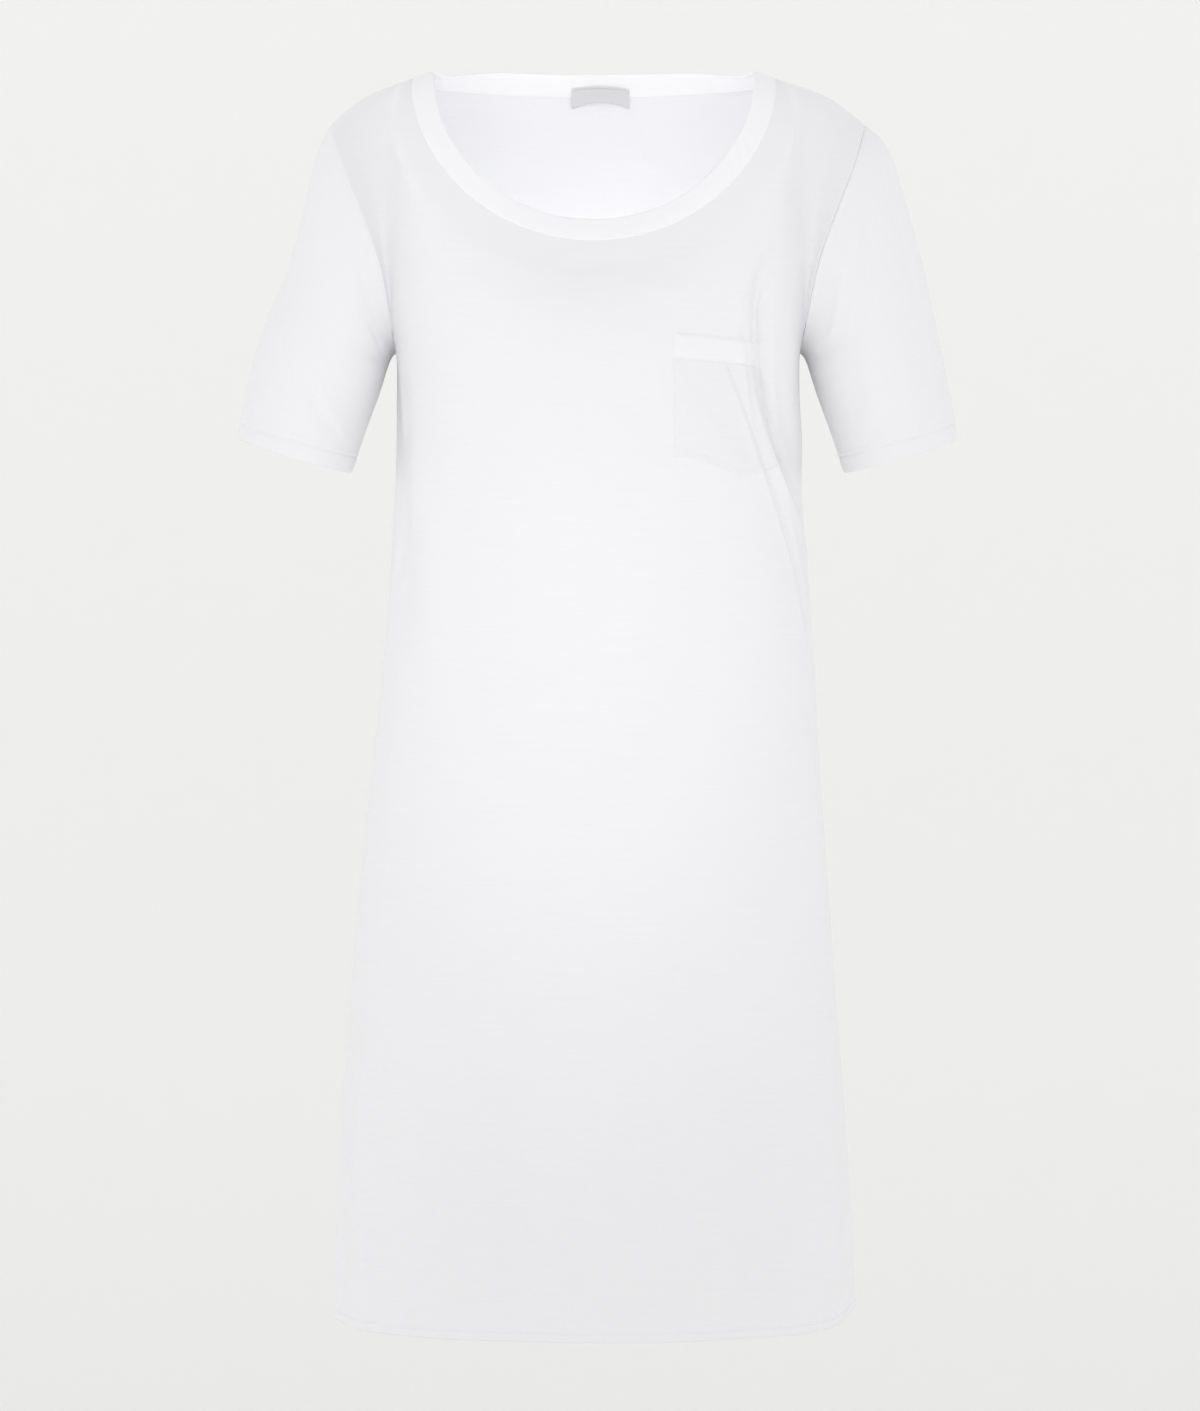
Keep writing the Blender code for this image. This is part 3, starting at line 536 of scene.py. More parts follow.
# The cloth is fine single jersey of slubby cotton yarn, matt and almost white. The slubs show as faint level
# streaks, and a short nap gives the cloth a soft light edge.
JERSEY_WHITE = (0.880, 0.880, 0.898)
JERSEY_SHADE = (0.862, 0.862, 0.881)
CLOTH_ROUGHNESS = 0.93
NAP_SHEEN = 0.12
NAP_ROUGHNESS = 0.45
CLOTH_GLOSS = 0.25
SLUB_SCALE = (26.0, 620.0, 1.0)
SLUB_DETAIL = 3.0
SLUB_HARSHNESS = 0.6
SLUB_RANGE = (0.42, 0.75)
SLUB_SHARE = 0.75
PATCH_SCALE = (18.0, 30.0, 1.0)
LOOP_SCALE = (1150.0, 800.0, 1.0)
LOOP_SHARE = 0.3
SLUB_RELIEF = 0.00016


class Value:
    """A shader socket on which sums are written as Python writes them."""

    def __init__(self, nodes, socket):
        self.nodes, self.socket = nodes, socket

    def sum(self, operation, one, other):
        return self.nodes.node("ShaderNodeMath", {"operation": operation}, {0: one, 1: other})

    def __add__(self, other):
        return self.sum("ADD", self, other)

    def __mul__(self, other):
        return self.sum("MULTIPLY", self, other)

    __radd__, __rmul__ = __add__, __mul__


class Nodes:
    """A node tree whose nodes are made one call each, and the shader at its end."""

    def __init__(self, owner, shader):
        owner.use_nodes = True
        self.tree = owner.node_tree
        self.shader = self.tree.nodes[shader]

    def node(self, kind, settings, sockets, output=0):
        """A node of a kind with its settings and the values or links of its sockets, as a Value."""
        node = self.tree.nodes.new(kind)
        for name, value in settings.items():
            setattr(node, name, value)
        for name, value in sockets.items():
            if isinstance(value, Value):
                self.tree.links.new(value.socket, node.inputs[name])
            else:
                node.inputs[name].default_value = value
        return Value(self, node.outputs[output])

    def feed(self, name, value):
        self.tree.links.new(value.socket, self.shader.inputs[name])

    def mixed(self, share, one, other):
        """A colour between two, by a share from 0 to 1."""
        return self.node(
            "ShaderNodeMix", {"data_type": "RGBA"}, {0: share, 6: (*one, 1.0), 7: (*other, 1.0)}, output=2)

    def ranged(self, value, ends, results, interpolation="LINEAR"):
        """A value's range turned into another range, and held at its ends."""
        return self.node(
            "ShaderNodeMapRange", {"interpolation_type": interpolation},
            {0: value, 1: ends[0], 2: ends[1], 3: results[0], 4: results[1]})

    def noise(self, place, scale, detail=2.0, roughness=0.5):
        """Noise at a place that is first stretched by scale."""
        spot = self.node("ShaderNodeMapping", {}, {"Vector": place, "Scale": scale})
        sockets = {"Vector": spot, "Scale": 1.0, "Detail": detail, "Roughness": roughness}
        return self.node("ShaderNodeTexNoise", {}, sockets)


class Finish(Nodes):
    """A material with a Principled BSDF."""

    def __init__(self, name, roughness, sheen=0.0):
        self.material = bpy.data.materials.new(name)
        super().__init__(self.material, "Principled BSDF")
        plain = {"Roughness": roughness, "Sheen Weight": sheen, "Sheen Roughness": NAP_ROUGHNESS,
                 "Specular IOR Level": CLOTH_GLOSS}
        for socket, value in plain.items():
            self.shader.inputs[socket].default_value = value

    def relief(self, height, depth):
        bump = self.node("ShaderNodeBump", {}, {"Height": height, "Distance": depth, "Strength": 1.0})
        self.feed("Normal", bump)


def jersey(name, white, shade):
    """Cotton jersey on a piece's UV map "cloth", in metres, with slubs along the courses."""
    finish = Finish(name, CLOTH_ROUGHNESS, NAP_SHEEN)
    place = finish.node("ShaderNodeUVMap", {"uv_map": "cloth"}, {})
    slubs = finish.noise(place, SLUB_SCALE, SLUB_DETAIL, SLUB_HARSHNESS)
    patches = finish.noise(place, PATCH_SCALE)
    loops = finish.noise(place, LOOP_SCALE, detail=0.0)
    streaks = finish.ranged(slubs, SLUB_RANGE, (0.0, 1.0))
    finish.feed("Base Color", finish.mixed(streaks * SLUB_SHARE + patches * (1 - SLUB_SHARE), white, shade))
    finish.relief(slubs * (1 - LOOP_SHARE) + loops * LOOP_SHARE, SLUB_RELIEF)
    return finish.material


white_jersey = jersey("white_jersey", JERSEY_WHITE, JERSEY_SHADE)


# Each cut is a thin shell on the block's form, with its folds, hem and seams.
JERSEY = 0.0009
BODY_ROW = 0.0058
CREASED_ROWS = (0.550, 0.760, 0.0027)
FRONT_COLUMN = 0.0041
CREASED_COLUMNS = (0.60, 0.98)
CREASED_COLUMN = 0.0025
HEM_ROW = 0.0009
HEM_TURN = 0.0080
TURN_REACH = 1.4
HEM_STITCH = 0.0064
HEM_BULGE = 0.00045
HEM_GROOVE = 0.00040
GROOVE_WIDTH = 0.0009
BULGE_PLACE = 0.55
BULGE_WIDTH = 0.36
FOLD_ROUNDING = 0.0006
PUCKER_HEIGHT = 0.011
PUCKER_RIDGES = 0.5
OPEN_SEAM = (0.00095, 0.00060)
CLOSED_SEAM = (-0.00035, 0.00025)
ALLOWANCE = 0.0050
ALLOWANCE_LIFT = 0.00035
TOPSTITCH = 0.0032
TOPSTITCH_GROOVE = 0.00040
TOPSTITCH_WIDTH = 0.0010
RIM_ANGLE = math.radians(60)
ALL = slice(None)
LEFT_SIDE = (ALL, 0, ALL, 1)
RIGHT_SIDE = (ALL, -1, ALL, -2)
FIRST_ROW = (0, ALL, 1, ALL)
LAST_ROW = (-1, ALL, -2, ALL)

LARGE_FOLDS = {
    "front": (
        (0.545, -0.165, 0.48, -0.275, 0.93, -0.335, 0.008, 0.014, 0.45),
        (0.9, -0.48, 0.95, -0.56, 0.93, -0.7, 0.004, 0.015, 0),
        (0.84, -0.74, 0.86, -0.83, 0.82, -0.92, 0.004, 0.015, 0),
        (-0.82, -0.7, -0.84, -0.8, -0.8, -0.92, 0.0045, 0.015, 0),
        (-0.22, -0.6, -0.23, -0.76, -0.17, -0.92, 0.005, 0.026, 0),
        (0.3, -0.62, 0.33, -0.78, 0.36, -0.92, 0.0045, 0.024, 0),
        (-0.66, -0.4, -0.78, -0.3, -0.92, -0.23, 0.004, 0.016, 0),
    ),
    "back": (
        (0.62, -0.15, 0.76, -0.23, 0.9, -0.35, 0.005, 0.0165, 0),
        (-0.62, -0.15, -0.78, -0.235, -0.92, -0.36, 0.005, 0.0165, 0),
        (0, -0.36, 0.02, -0.6, -0.03, -0.92, 0.0055, 0.028, 0),
        (0.46, -0.48, 0.5, -0.7, 0.44, -0.92, 0.005, 0.024, 0),
        (-0.48, -0.45, -0.5, -0.68, -0.56, -0.92, 0.005, 0.024, 0),
        (0.83, -0.6, 0.86, -0.76, 0.82, -0.92, 0.004, 0.016, 0),
        (-0.82, -0.62, -0.85, -0.76, -0.84, -0.92, 0.004, 0.016, 0),
    ),
}
BODY_CREASES = {
    "front": (
        (0.42, -0.225, 0.575, -0.298, 0.84, -0.43, 0.0036, 0.0042, 0.4),
        (0.56, -0.178, 0.53, -0.295, 0.9, -0.318, 0.0058, 0.004, 0.4),
        (0.465, -0.196, 0.485, -0.245, 0.56, -0.282, 0.0026, 0.0036, 0.3),
        (0.28, -0.224, 0.39, -0.256, 0.51, -0.295, 0.0006, 0.007, 0.2),
        (0.205, -0.219, 0.213, -0.236, 0.222, -0.253, 0.0009, 0.004, 0.3),
        (0.72, -0.455, 0.82, -0.5, 0.98, -0.545, 0.0012, 0.007, 0),
        (-0.7, -0.325, -0.75, -0.35, -0.77, -0.372, 0.001, 0.005, 0),
        (-0.74, -0.232, -0.7, -0.29, -0.77, -0.36, 0.0014, 0.0075, 0.2),
        (-0.19, -0.61, -0.17, -0.76, -0.19, -0.915, 0.0014, 0.009, 0.1),
        (-0.03, -0.655, -0.02, -0.73, -0.04, -0.9, 0.0012, 0.008, -0.1),
        (0.13, -0.67, 0.14, -0.78, 0.19, -0.9, 0.0012, 0.0085, 0.2),
        (0.41, -0.575, 0.44, -0.73, 0.42, -0.88, -0.001, 0.01, 0),
        (-0.69, -0.415, -0.64, -0.6, -0.62, -0.745, -0.001, 0.011, 0),
        (-0.65, -0.715, -0.66, -0.8, -0.75, -0.905, 0.0016, 0.008, -0.2),
        (0.55, -0.15, 0.53, -0.172, 0.57, -0.195, 0.0014, 0.007, 0.1),
        (0.18, -0.166, 0.24, -0.171, 0.3, -0.172, -0.0007, 0.008, 0),
        (-0.13, -0.154, 0.01, -0.146, 0.15, -0.146, 0.0006, 0.006, 0),
        (-0.76, -0.07, -0.66, -0.1, -0.55, -0.142, 0.0008, 0.009, 0),
        (-0.46, -0.146, -0.27, -0.165, -0.09, -0.169, 0.0005, 0.008, 0),
        (0.7, -0.888, 0.58, -0.898, 0.47, -0.905, 0.0008, 0.005, 0.2),
        (0.78, -0.878, 0.7, -0.888, 0.6, -0.895, 0.0007, 0.0045, -0.2),
    ),
    "back": (
        (0.36, -0.11, 0.54, -0.19, 0.7, -0.3, 0.0014, 0.0085, 0.2),
        (-0.34, -0.12, -0.5, -0.2, -0.72, -0.29, 0.0013, 0.008, -0.2),
        (0.1, -0.21, 0.3, -0.25, 0.52, -0.33, 0.0009, 0.0095, 0),
        (-0.66, -0.4, -0.76, -0.45, -0.88, -0.47, 0.0012, 0.007, 0.1),
        (0.7, -0.41, 0.8, -0.445, 0.9, -0.5, 0.0011, 0.0065, 0),
        (0.2, -0.56, 0.22, -0.72, 0.17, -0.905, 0.0015, 0.0095, 0.1),
        (-0.26, -0.6, -0.23, -0.75, -0.28, -0.91, 0.0013, 0.0085, -0.1),
        (-0.68, -0.56, -0.66, -0.7, -0.71, -0.88, -0.0011, 0.01, 0),
        (0.67, -0.6, 0.65, -0.75, 0.7, -0.9, 0.0014, 0.008, 0.2),
    ),
}
PUCKER_COLUMNS = ("across", "depth", "width")
HEM_PUCKERS = {
    "front": (
        (-0.86, 0.0007, 0.005), (-0.69, 0.0009, 0.0046), (-0.45, 0.0011, 0.0044),
        (-0.29, 0.0004, 0.005), (-0.12, 0.0012, 0.0052), (-0.06, 0.0008, 0.0042),
        (0.07, 0.0004, 0.0046), (0.19, 0.0008, 0.0046), (0.31, 0.0004, 0.005), (0.45, 0.001, 0.0048),
        (0.56, 0.0005, 0.0042), (0.63, 0.0009, 0.0044), (0.7, 0.001, 0.0044), (0.88, 0.0006, 0.005),
    ),
    "back": (
        (-0.81, 0.0008, 0.0048), (-0.58, 0.0006, 0.005), (-0.4, 0.001, 0.0046),
        (-0.16, 0.0005, 0.0044), (0.03, 0.001, 0.0048), (0.24, 0.0006, 0.0046), (0.49, 0.0009, 0.0048),
        (0.66, 0.0005, 0.0044), (0.85, 0.0008, 0.005),
    ),
}


def body_places(grid):
    """(across, along) of each point of a body piece: metres of cloth from the centre line, and level."""
    table = by_column(SECTION_COLUMNS, BODY_SECTIONS)
    x, y, z = np.moveaxis(grid, 2, 0)
    at = np.minimum(z, ARMPIT[1])
    cut = {name: np.interp(at, table["level"], table[name]) for name in SECTION_COLUMNS}
    reach = np.where(x > 0, cut["left"], cut["right"])
    depth = np.where(y < 0, cut["front"], cut["back"])
    return np.arctan2(x / reach, np.abs(y) / depth) / (math.pi / 2) * QUARTER_CLOTH, z


def turned_edge(edge, stitch, bulge, groove):
    """Rise of the cloth at a distance from a turned-up edge, rounded there and drawn in at the stitches."""
    fold = FOLD_ROUNDING * np.clip(1 - edge / FOLD_ROUNDING, 0, 1) ** 2
    swell = bulge * hump(edge, stitch * BULGE_PLACE, stitch * BULGE_WIDTH)
    return swell - groove * hump(edge, stitch, GROOVE_WIDTH) - fold


def pucker_depths(puckers, across, cloth, edge, stitch, ridges):
    """How deep puckers at a row of stitches draw the cloth in, with a share of that as ridges beside."""
    depth = np.zeros(across.shape)
    for pucker in puckers:
        row = dict(zip(PUCKER_COLUMNS, pucker))
        aside = np.abs(across - row["across"] * cloth)
        beside = hump(aside, row["width"] * 2, row["width"])
        depth += row["depth"] * (hump(aside, 0, row["width"]) - ridges * beside)
    return depth * hump(edge, stitch, PUCKER_HEIGHT)


def drawn_in(grid, sides, seam):
    """The grid with its sewn edges pulled back from the seam line, or tucked past it, and sunk a little."""
    out = outward(grid)
    moved = grid.copy()
    pull, sink = seam
    for row, column, next_row, next_column in sides:
        way = grid[next_row, next_column] - grid[row, column]
        way /= np.linalg.norm(way, axis=1)[:, None]
        moved[row, column] += way * pull - out[row, column] * sink
    return moved


def quads(number):
    """The faces between a grid of point numbers."""
    corners = [number[:-1, :-1], number[:-1, 1:], number[1:, 1:], number[1:, :-1]]
    return np.stack([c.ravel() for c in corners], axis=1)


def cloth_mesh(name, outer, inner, places, material):
    """A closed thin shell between two grids of points, with a UV map "cloth" in metres."""
    rows, columns = outer.shape[:2]
    count = rows * columns
    number = np.arange(count).reshape(rows, columns)
    skin = quads(number)
    rim = np.concatenate([number[0, :-1], number[:-1, -1], number[-1, :0:-1], number[:0:-1, 0]])
    after = np.roll(rim, -1)
    edge = np.stack([rim, rim + count, after + count, after], axis=1)
    faces = np.concatenate([skin, skin[:, ::-1] + count, edge])
    mesh = bpy.data.meshes.new(name)
    points = np.concatenate([outer.reshape(-1, 3), inner.reshape(-1, 3)])
    mesh.from_pydata(points.tolist(), [], faces.tolist())
    flat = np.stack([p.ravel() for p in places], axis=1)
    flat = np.concatenate([flat, flat])
    mesh.uv_layers.new(name="cloth").data.foreach_set("uv", flat[faces.ravel()].ravel())
    mesh.shade_smooth()
    mesh.set_sharp_from_angle(angle=RIM_ANGLE)
    mesh.materials.append(material)
    return placed(name, mesh)


def hung(piece, grid):
    """A body piece with its folds, as (points, places, distance of each row from the hem)."""
    height, girth = runs(grid, 0)[-1], runs(grid, 1)[-1]
    finer = [(0, HEM_TURN * TURN_REACH, HEM_ROW)]
    if piece == "front":
        start, end = (share * girth for share in CREASED_COLUMNS)
        grid = respaced(grid, 1, graded(girth, FRONT_COLUMN, (start, end, CREASED_COLUMN)))
        finer.append(CREASED_ROWS)
    grid = respaced(grid, 0, graded(height, BODY_ROW, *finer))
    places = body_places(grid)
    edge = runs(grid, 0)[:, None]
    seams = np.concatenate([grid[:, 0], grid[:, -1], grid[-1]])
    depth = fold_depths(places, LARGE_FOLDS[piece] + BODY_CREASES[piece], QUARTER_CLOTH)
    depth *= smooth_step(away_from(grid, seams) / CALM_REACH)
    depth += pucker_depths(HEM_PUCKERS[piece], places[0], QUARTER_CLOTH, edge, HEM_STITCH, PUCKER_RIDGES)
    return grid - outward(grid) * depth[..., None], places, edge


def body_cloth(piece, points, places, edge):
    """The shell of a body piece, thicker where its hem is turned up and its seam allowances lie."""
    lift = turned_edge(edge, HEM_STITCH, HEM_BULGE, HEM_GROOVE) * np.ones(points.shape[:2])
    armhole = np.concatenate([p[p[:, 2] > ARMPIT[1]] for p in (points[:, 0], points[:, -1])])
    seam = away_from(points, armhole)
    lift += ALLOWANCE_LIFT * (1 - smooth_step(seam / ALLOWANCE - 0.5))
    lift -= TOPSTITCH_GROOVE * hump(seam, TOPSTITCH, TOPSTITCH_WIDTH) * (points[..., 0] > 0)
    raised = points + outward(points) * lift[..., None]
    outer = drawn_in(raised, (LEFT_SIDE, RIGHT_SIDE, LAST_ROW), CLOSED_SEAM)
    thick = JERSEY * (1 + smooth_step((HEM_TURN - edge) / HEM_ROW))
    inner = outer - outward(outer) * thick[..., None]
    return cloth_mesh(f"{piece}_cloth", outer, inner, places, white_jersey), outer


body = {piece: hung(piece, grids[piece]) for piece in ("front", "back")}
body_skins = {}
for piece in body:
    cloth, body_skins[piece] = body_cloth(piece, *body[piece])
    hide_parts(f"{piece}_panel")
    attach(cloth, "root")


# Sleeves
# Each is one cut of the same jersey, sewn up under the arm and set into the armhole, with its lower edge
# turned up and sewn 14 mm above the fold.

SLEEVE_CLOTH = 0.190
SLEEVE_ROW = 0.0028
CUFF_ROW = 0.0009
CUFF_TURN = 0.0150
CUFF_STITCH = 0.0138
CUFF_BULGE = 0.00050
CUFF_GROOVE = 0.00045
CUFF_RIDGE = 0.00040
CUFF_RIDGE_PLACE = 0.0170
CUFF_RIDGE_WIDTH = 0.0020
ARMHOLE_SEAMS = {"left": OPEN_SEAM, "right": CLOSED_SEAM}
ARMHOLE_ROLLS = {"left": 0.0, "right": 0.00045}
ROLL_PLACE = 0.0022
ROLL_WIDTH = 0.0016
SLEEVE_CREASES = {
    "sleeve_left": (
        (0.54, 0.112, 0.6, 0.16, 0.63, 0.206, -0.0012, 0.008, 0),
        (0.23, 0.025, 0.23, 0.094, 0.26, 0.158, 0.0018, 0.009, 0.1),
        (0.34, 0.01, 0.43, 0.065, 0.57, 0.102, 0.0014, 0.007, 0),
        (0.36, 0.117, 0.33, 0.16, 0.3, 0.206, 0.001, 0.008, 0),
        (0.51, 0.025, 0.6, 0.05, 0.69, 0.07, -0.001, 0.008, 0),
        (0.93, 0.028, 0.76, 0.07, 0.62, 0.11, 0.0017, 0.008, -0.1),
        (-0.3, 0.03, -0.38, 0.09, -0.56, 0.15, 0.0016, 0.0085, 0.1),
        (-0.92, 0.03, -0.74, 0.08, -0.58, 0.12, 0.0017, 0.008, 0),
        (-0.2, 0.12, -0.26, 0.16, -0.22, 0.205, 0.0009, 0.008, 0),
    ),
    "sleeve_right": (
        (0.34, 0.149, 0.59, 0.186, 0.71, 0.206, 0.0014, 0.007, 0.2),
        (0.64, 0.052, 0.75, 0.044, 0.86, 0.039, 0.0012, 0.006, 0),
        (0.4, 0.016, 0.59, 0.034, 0.77, 0.034, 0.001, 0.008, 0),
        (0.92, 0.03, 0.74, 0.075, 0.6, 0.13, 0.0016, 0.008, 0.1),
        (0.05, 0.06, 0.12, 0.12, 0.1, 0.19, 0.0009, 0.01, 0),
        (-0.28, 0.035, -0.4, 0.085, -0.58, 0.14, 0.0015, 0.0085, 0),
        (-0.93, 0.028, -0.76, 0.07, -0.6, 0.125, 0.0018, 0.008, 0.1),
        (-0.24, 0.115, -0.18, 0.16, -0.26, 0.2, 0.001, 0.008, 0),
    ),
}
CUFF_PUCKERS = {
    "sleeve_left": (
        (0.03, 0.0012, 0.0055), (0.14, 0.0009, 0.0045), (0.41, 0.0008, 0.005), (0.66, 0.0005, 0.0045),
        (-0.34, 0.0008, 0.005), (-0.7, 0.0006, 0.0045),
    ),
    "sleeve_right": (
        (0.06, 0.0009, 0.005), (0.3, 0.0005, 0.0045), (0.52, 0.0008, 0.0045), (0.8, 0.0006, 0.005),
        (-0.26, 0.0007, 0.0045), (-0.61, 0.0009, 0.005),
    ),
}

sleeve_skins = {}
for side, front_way in (("left", 1), ("right", -1)):
    piece = f"sleeve_{side}"
    grid = grids[piece]
    length = runs(grid, 0)[-1]
    edge = graded(length, SLEEVE_ROW, (0, CUFF_TURN * TURN_REACH, CUFF_ROW))[::-1]
    grid = respaced(grid, 0, length - edge)
    edge = edge[:, None]
    share = np.linspace(-front_way, front_way, grid.shape[1])
    places = np.broadcast_arrays(share[None] * SLEEVE_CLOTH, length - edge)
    seams = np.concatenate([grid[0], grid[:, 0]])
    depth = fold_depths(places, SLEEVE_CREASES[piece], SLEEVE_CLOTH)
    depth *= smooth_step(away_from(grid, seams) / CALM_REACH)
    depth += pucker_depths(CUFF_PUCKERS[piece], places[0], SLEEVE_CLOTH, edge, CUFF_STITCH, 0)
    lift = turned_edge(edge, CUFF_STITCH, CUFF_BULGE, CUFF_GROOVE)
    lift = lift + CUFF_RIDGE * hump(edge, CUFF_RIDGE_PLACE, CUFF_RIDGE_WIDTH) - depth
    lift += ARMHOLE_ROLLS[side] * hump(length - edge, ROLL_PLACE, ROLL_WIDTH)
    outer = drawn_in(grid + outward(grid) * lift[..., None], (LEFT_SIDE, RIGHT_SIDE), CLOSED_SEAM)
    outer = drawn_in(outer, (FIRST_ROW,), ARMHOLE_SEAMS[side])
    thick = JERSEY * (1 + smooth_step((CUFF_TURN - edge) / CUFF_ROW)) * np.ones(grid.shape[:2])
    inner = outer - outward(outer) * thick[..., None]
    cloth = cloth_mesh(f"{piece}_cloth", outer, inner, places, white_jersey)
    sleeve_skins[piece] = outer, edge[:, 0]
    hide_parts(piece)
    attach(cloth, "root")


# Neckband
# A strip of jersey folded double round the neck and sewn on with the fold upwards, a little fuller and
# brighter than the body. On the wearer's left it is eased on, which leaves small creases across it.

BAND_WHITE = (0.940, 0.940, 0.955)
BAND_SHADE = (0.925, 0.925, 0.942)
BAND_DOUBLE = 0.0020
BAND_LIFT = 0.0005
BAND_PLUMPNESS = 0.6
BAND_COLUMN = 0.0017
BAND_ROW = 0.0013
BAND_FOLD_ROW = 0.00035
BAND_FOLD = 0.0010
BAND_FOLD_FLOOR = 0.0025
BAND_CREASES = (
    (0.346, 0, 0.35, 0.008, 0.356, 0.016, 0.0004, 0.003, 0),
    (0.357, 0, 0.362, 0.008, 0.366, 0.015, 0.0005, 0.0028, 0),
    (0.369, 0, 0.373, 0.007, 0.379, 0.016, 0.00045, 0.003, 0),
    (0.381, 0, 0.386, 0.008, 0.389, 0.014, 0.0005, 0.0028, 0),
    (0.396, 0, 0.399, 0.008, 0.405, 0.015, 0.00035, 0.003, 0),
    (0.285, 0, 0.287, 0.007, 0.291, 0.013, 0.00025, 0.0032, 0),
    (0.12, 0, 0.117, 0.008, 0.113, 0.014, 0.00028, 0.0032, 0),
    (0.088, 0, 0.084, 0.008, 0.081, 0.014, 0.00025, 0.003, 0),
    (0.56, 0, 0.563, 0.008, 0.561, 0.014, 0.00025, 0.0032, 0),
    (0.66, 0, 0.657, 0.008, 0.659, 0.014, 0.0003, 0.0032, 0),
)

band_jersey = jersey("band_jersey", BAND_WHITE, BAND_SHADE)
grid = grids["neckband"]
length = runs(grid, 1)[-1]
grid = respaced(grid, 1, np.linspace(0, length, round(length / BAND_COLUMN)))
width = runs(grid, 0)[-1]
half = graded(width / 2, BAND_ROW, (0, BAND_FOLD, BAND_FOLD_ROW))
grid = respaced(grid, 0, np.concatenate([half, width - half[-2::-1]]))
width = runs(grid, 0)[-1]
edge = width - runs(grid, 0)[:, None]
places = np.broadcast_arrays(runs(grid, 1)[None], runs(grid, 0)[:, None])
round_fold = np.sqrt(np.clip(1 - np.clip(1 - edge / BAND_FOLD, 0, 1) ** 2, BAND_FOLD_FLOOR, 1))
lift = BAND_LIFT * np.clip(np.sin(np.pi * edge / width), 0, 1) ** BAND_PLUMPNESS
lift = lift - fold_depths(places, BAND_CREASES, 1.0)
out = outward(grid)
middle = grid + out * (lift - BAND_DOUBLE / 2)[..., None]
thick = BAND_DOUBLE / 2 * round_fold * np.ones(grid.shape[:2])
outer = drawn_in(middle + out * thick[..., None], (FIRST_ROW,), CLOSED_SEAM)
band_inside = middle - out * thick[..., None]
band = cloth_mesh("neckband_cloth", outer, band_inside, places, band_jersey)
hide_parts("neckband")
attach(band, "root")


# Breast pocket
# A patch of jersey with a pointed foot, its edges turned in 6 mm and sewn down close to the edge. The top
# is bound with a folded band. Patch and band take the folds of the front that they lie on.

POCKET_BAND_TOP = ((0.0538, -0.1988), (0.1165, -0.2034))
POCKET_SEAM = ((0.0538, -0.2192), (0.1172, -0.2238))
POCKET_TOP = ((0.0525, -0.2180), (0.1172, -0.2226))
POCKET_FOOT = (
    (0.0528, -0.2892), (0.0627, -0.2878), (0.0740, -0.2905), (0.0838, -0.2944), (0.0937, -0.2976),
    (0.1009, -0.3010), (0.1150, -0.2974), (0.1285, -0.2928),
)
POCKET_STEP = 0.0008
POCKET_SPAN = (0.082, 0.078)
POCKET_BAND_SPAN = (0.066, 0.021)
POCKET_JERSEY = 0.0006
POCKET_WHITE = (0.862, 0.862, 0.880)
POCKET_SHADE = (0.846, 0.846, 0.865)
POCKET_BAND_WHITE = (0.895, 0.895, 0.912)
POCKET_BAND_SHADE = (0.880, 0.880, 0.898)
POCKET_GAP = 0.00010
RIM_REACH = 0.0028
RIM_PRESS = 0.00006
RIM_WALL = 0.00020
POCKET_TURN = 0.0056
POCKET_TURN_LIFT = 0.0004
POCKET_TURN_SLOPE = 0.0016
POCKET_SMOOTHING = 3
POCKET_STITCH_STEPS = 2
POCKET_STITCH = POCKET_STITCH_STEPS * POCKET_STEP
POCKET_GROOVE = 0.00015
POCKET_GROOVE_WIDTH = 0.0006
BAND_PLUMP = 0.0006
BAND_PLUMP_REACH = 0.0060


def skin_tree(grid):
    """The skin of a grid of points, to find places on it."""
    rows, columns = grid.shape[:2]
    faces = quads(np.arange(rows * columns).reshape(rows, columns))
    return BVHTree.FromPolygons(grid.reshape(-1, 3).tolist(), faces.tolist())


def laid_patch(tree, across, level):
    """The places of a patch on a skin, found by looking along +Y from before it, and smoothed a little."""
    patch = np.zeros(across.shape + (3,))
    for spot in np.ndindex(across.shape):
        patch[spot] = tree.ray_cast((across[spot], -1.0, level[spot]), (0.0, 1.0, 0.0))[0]
    for _ in range(POCKET_SMOOTHING):
        for axis in (0, 1):
            rolled = np.moveaxis(patch, axis, 0)
            rolled[1:-1] = (rolled[:-2] + 2 * rolled[1:-1] + rolled[2:]) / 4
    return patch


def rim_distance(patch, sides):
    """Distance of each point of a patch from the nearest of some of its sides, left, right, top or foot."""
    across, down = runs(patch, 1)[None], runs(patch, 0)[:, None]
    away = {"left": across, "right": across[:, -1:] - across, "foot": down, "top": down[-1:] - down}
    return np.minimum.reduce([np.broadcast_to(away[side], patch.shape[:2]) for side in sides])


def patch_between(foot, top, span):
    """(across, level) of a patch of a span between a foot line and a top line, each a list of corners."""
    columns, rows = (round(size / POCKET_STEP) for size in span)
    share = np.linspace(0, 1, columns)
    lines = []
    for corners in (foot, top):
        run = path_run(corners)
        lines.append([np.interp(share * run[-1], run, values) for values in zip(*corners)])
    up = np.linspace(0, 1, rows)[:, None]
    return tuple(low * (1 - up) + high * up for low, high in zip(*lines))


def tucked(patch, rim, lift):
    """Outer and inner skins of a patch at a lift off the cloth, its turned-in rim pressed into the cloth."""
    out = outward(patch)
    rise = smooth_step(rim / RIM_REACH)
    outer = lift * rise - RIM_PRESS * (1 - rise)
    inner = POCKET_GAP * rise - (RIM_PRESS + RIM_WALL) * (1 - rise)
    return patch + out * outer[..., None], patch + out * inner[..., None]


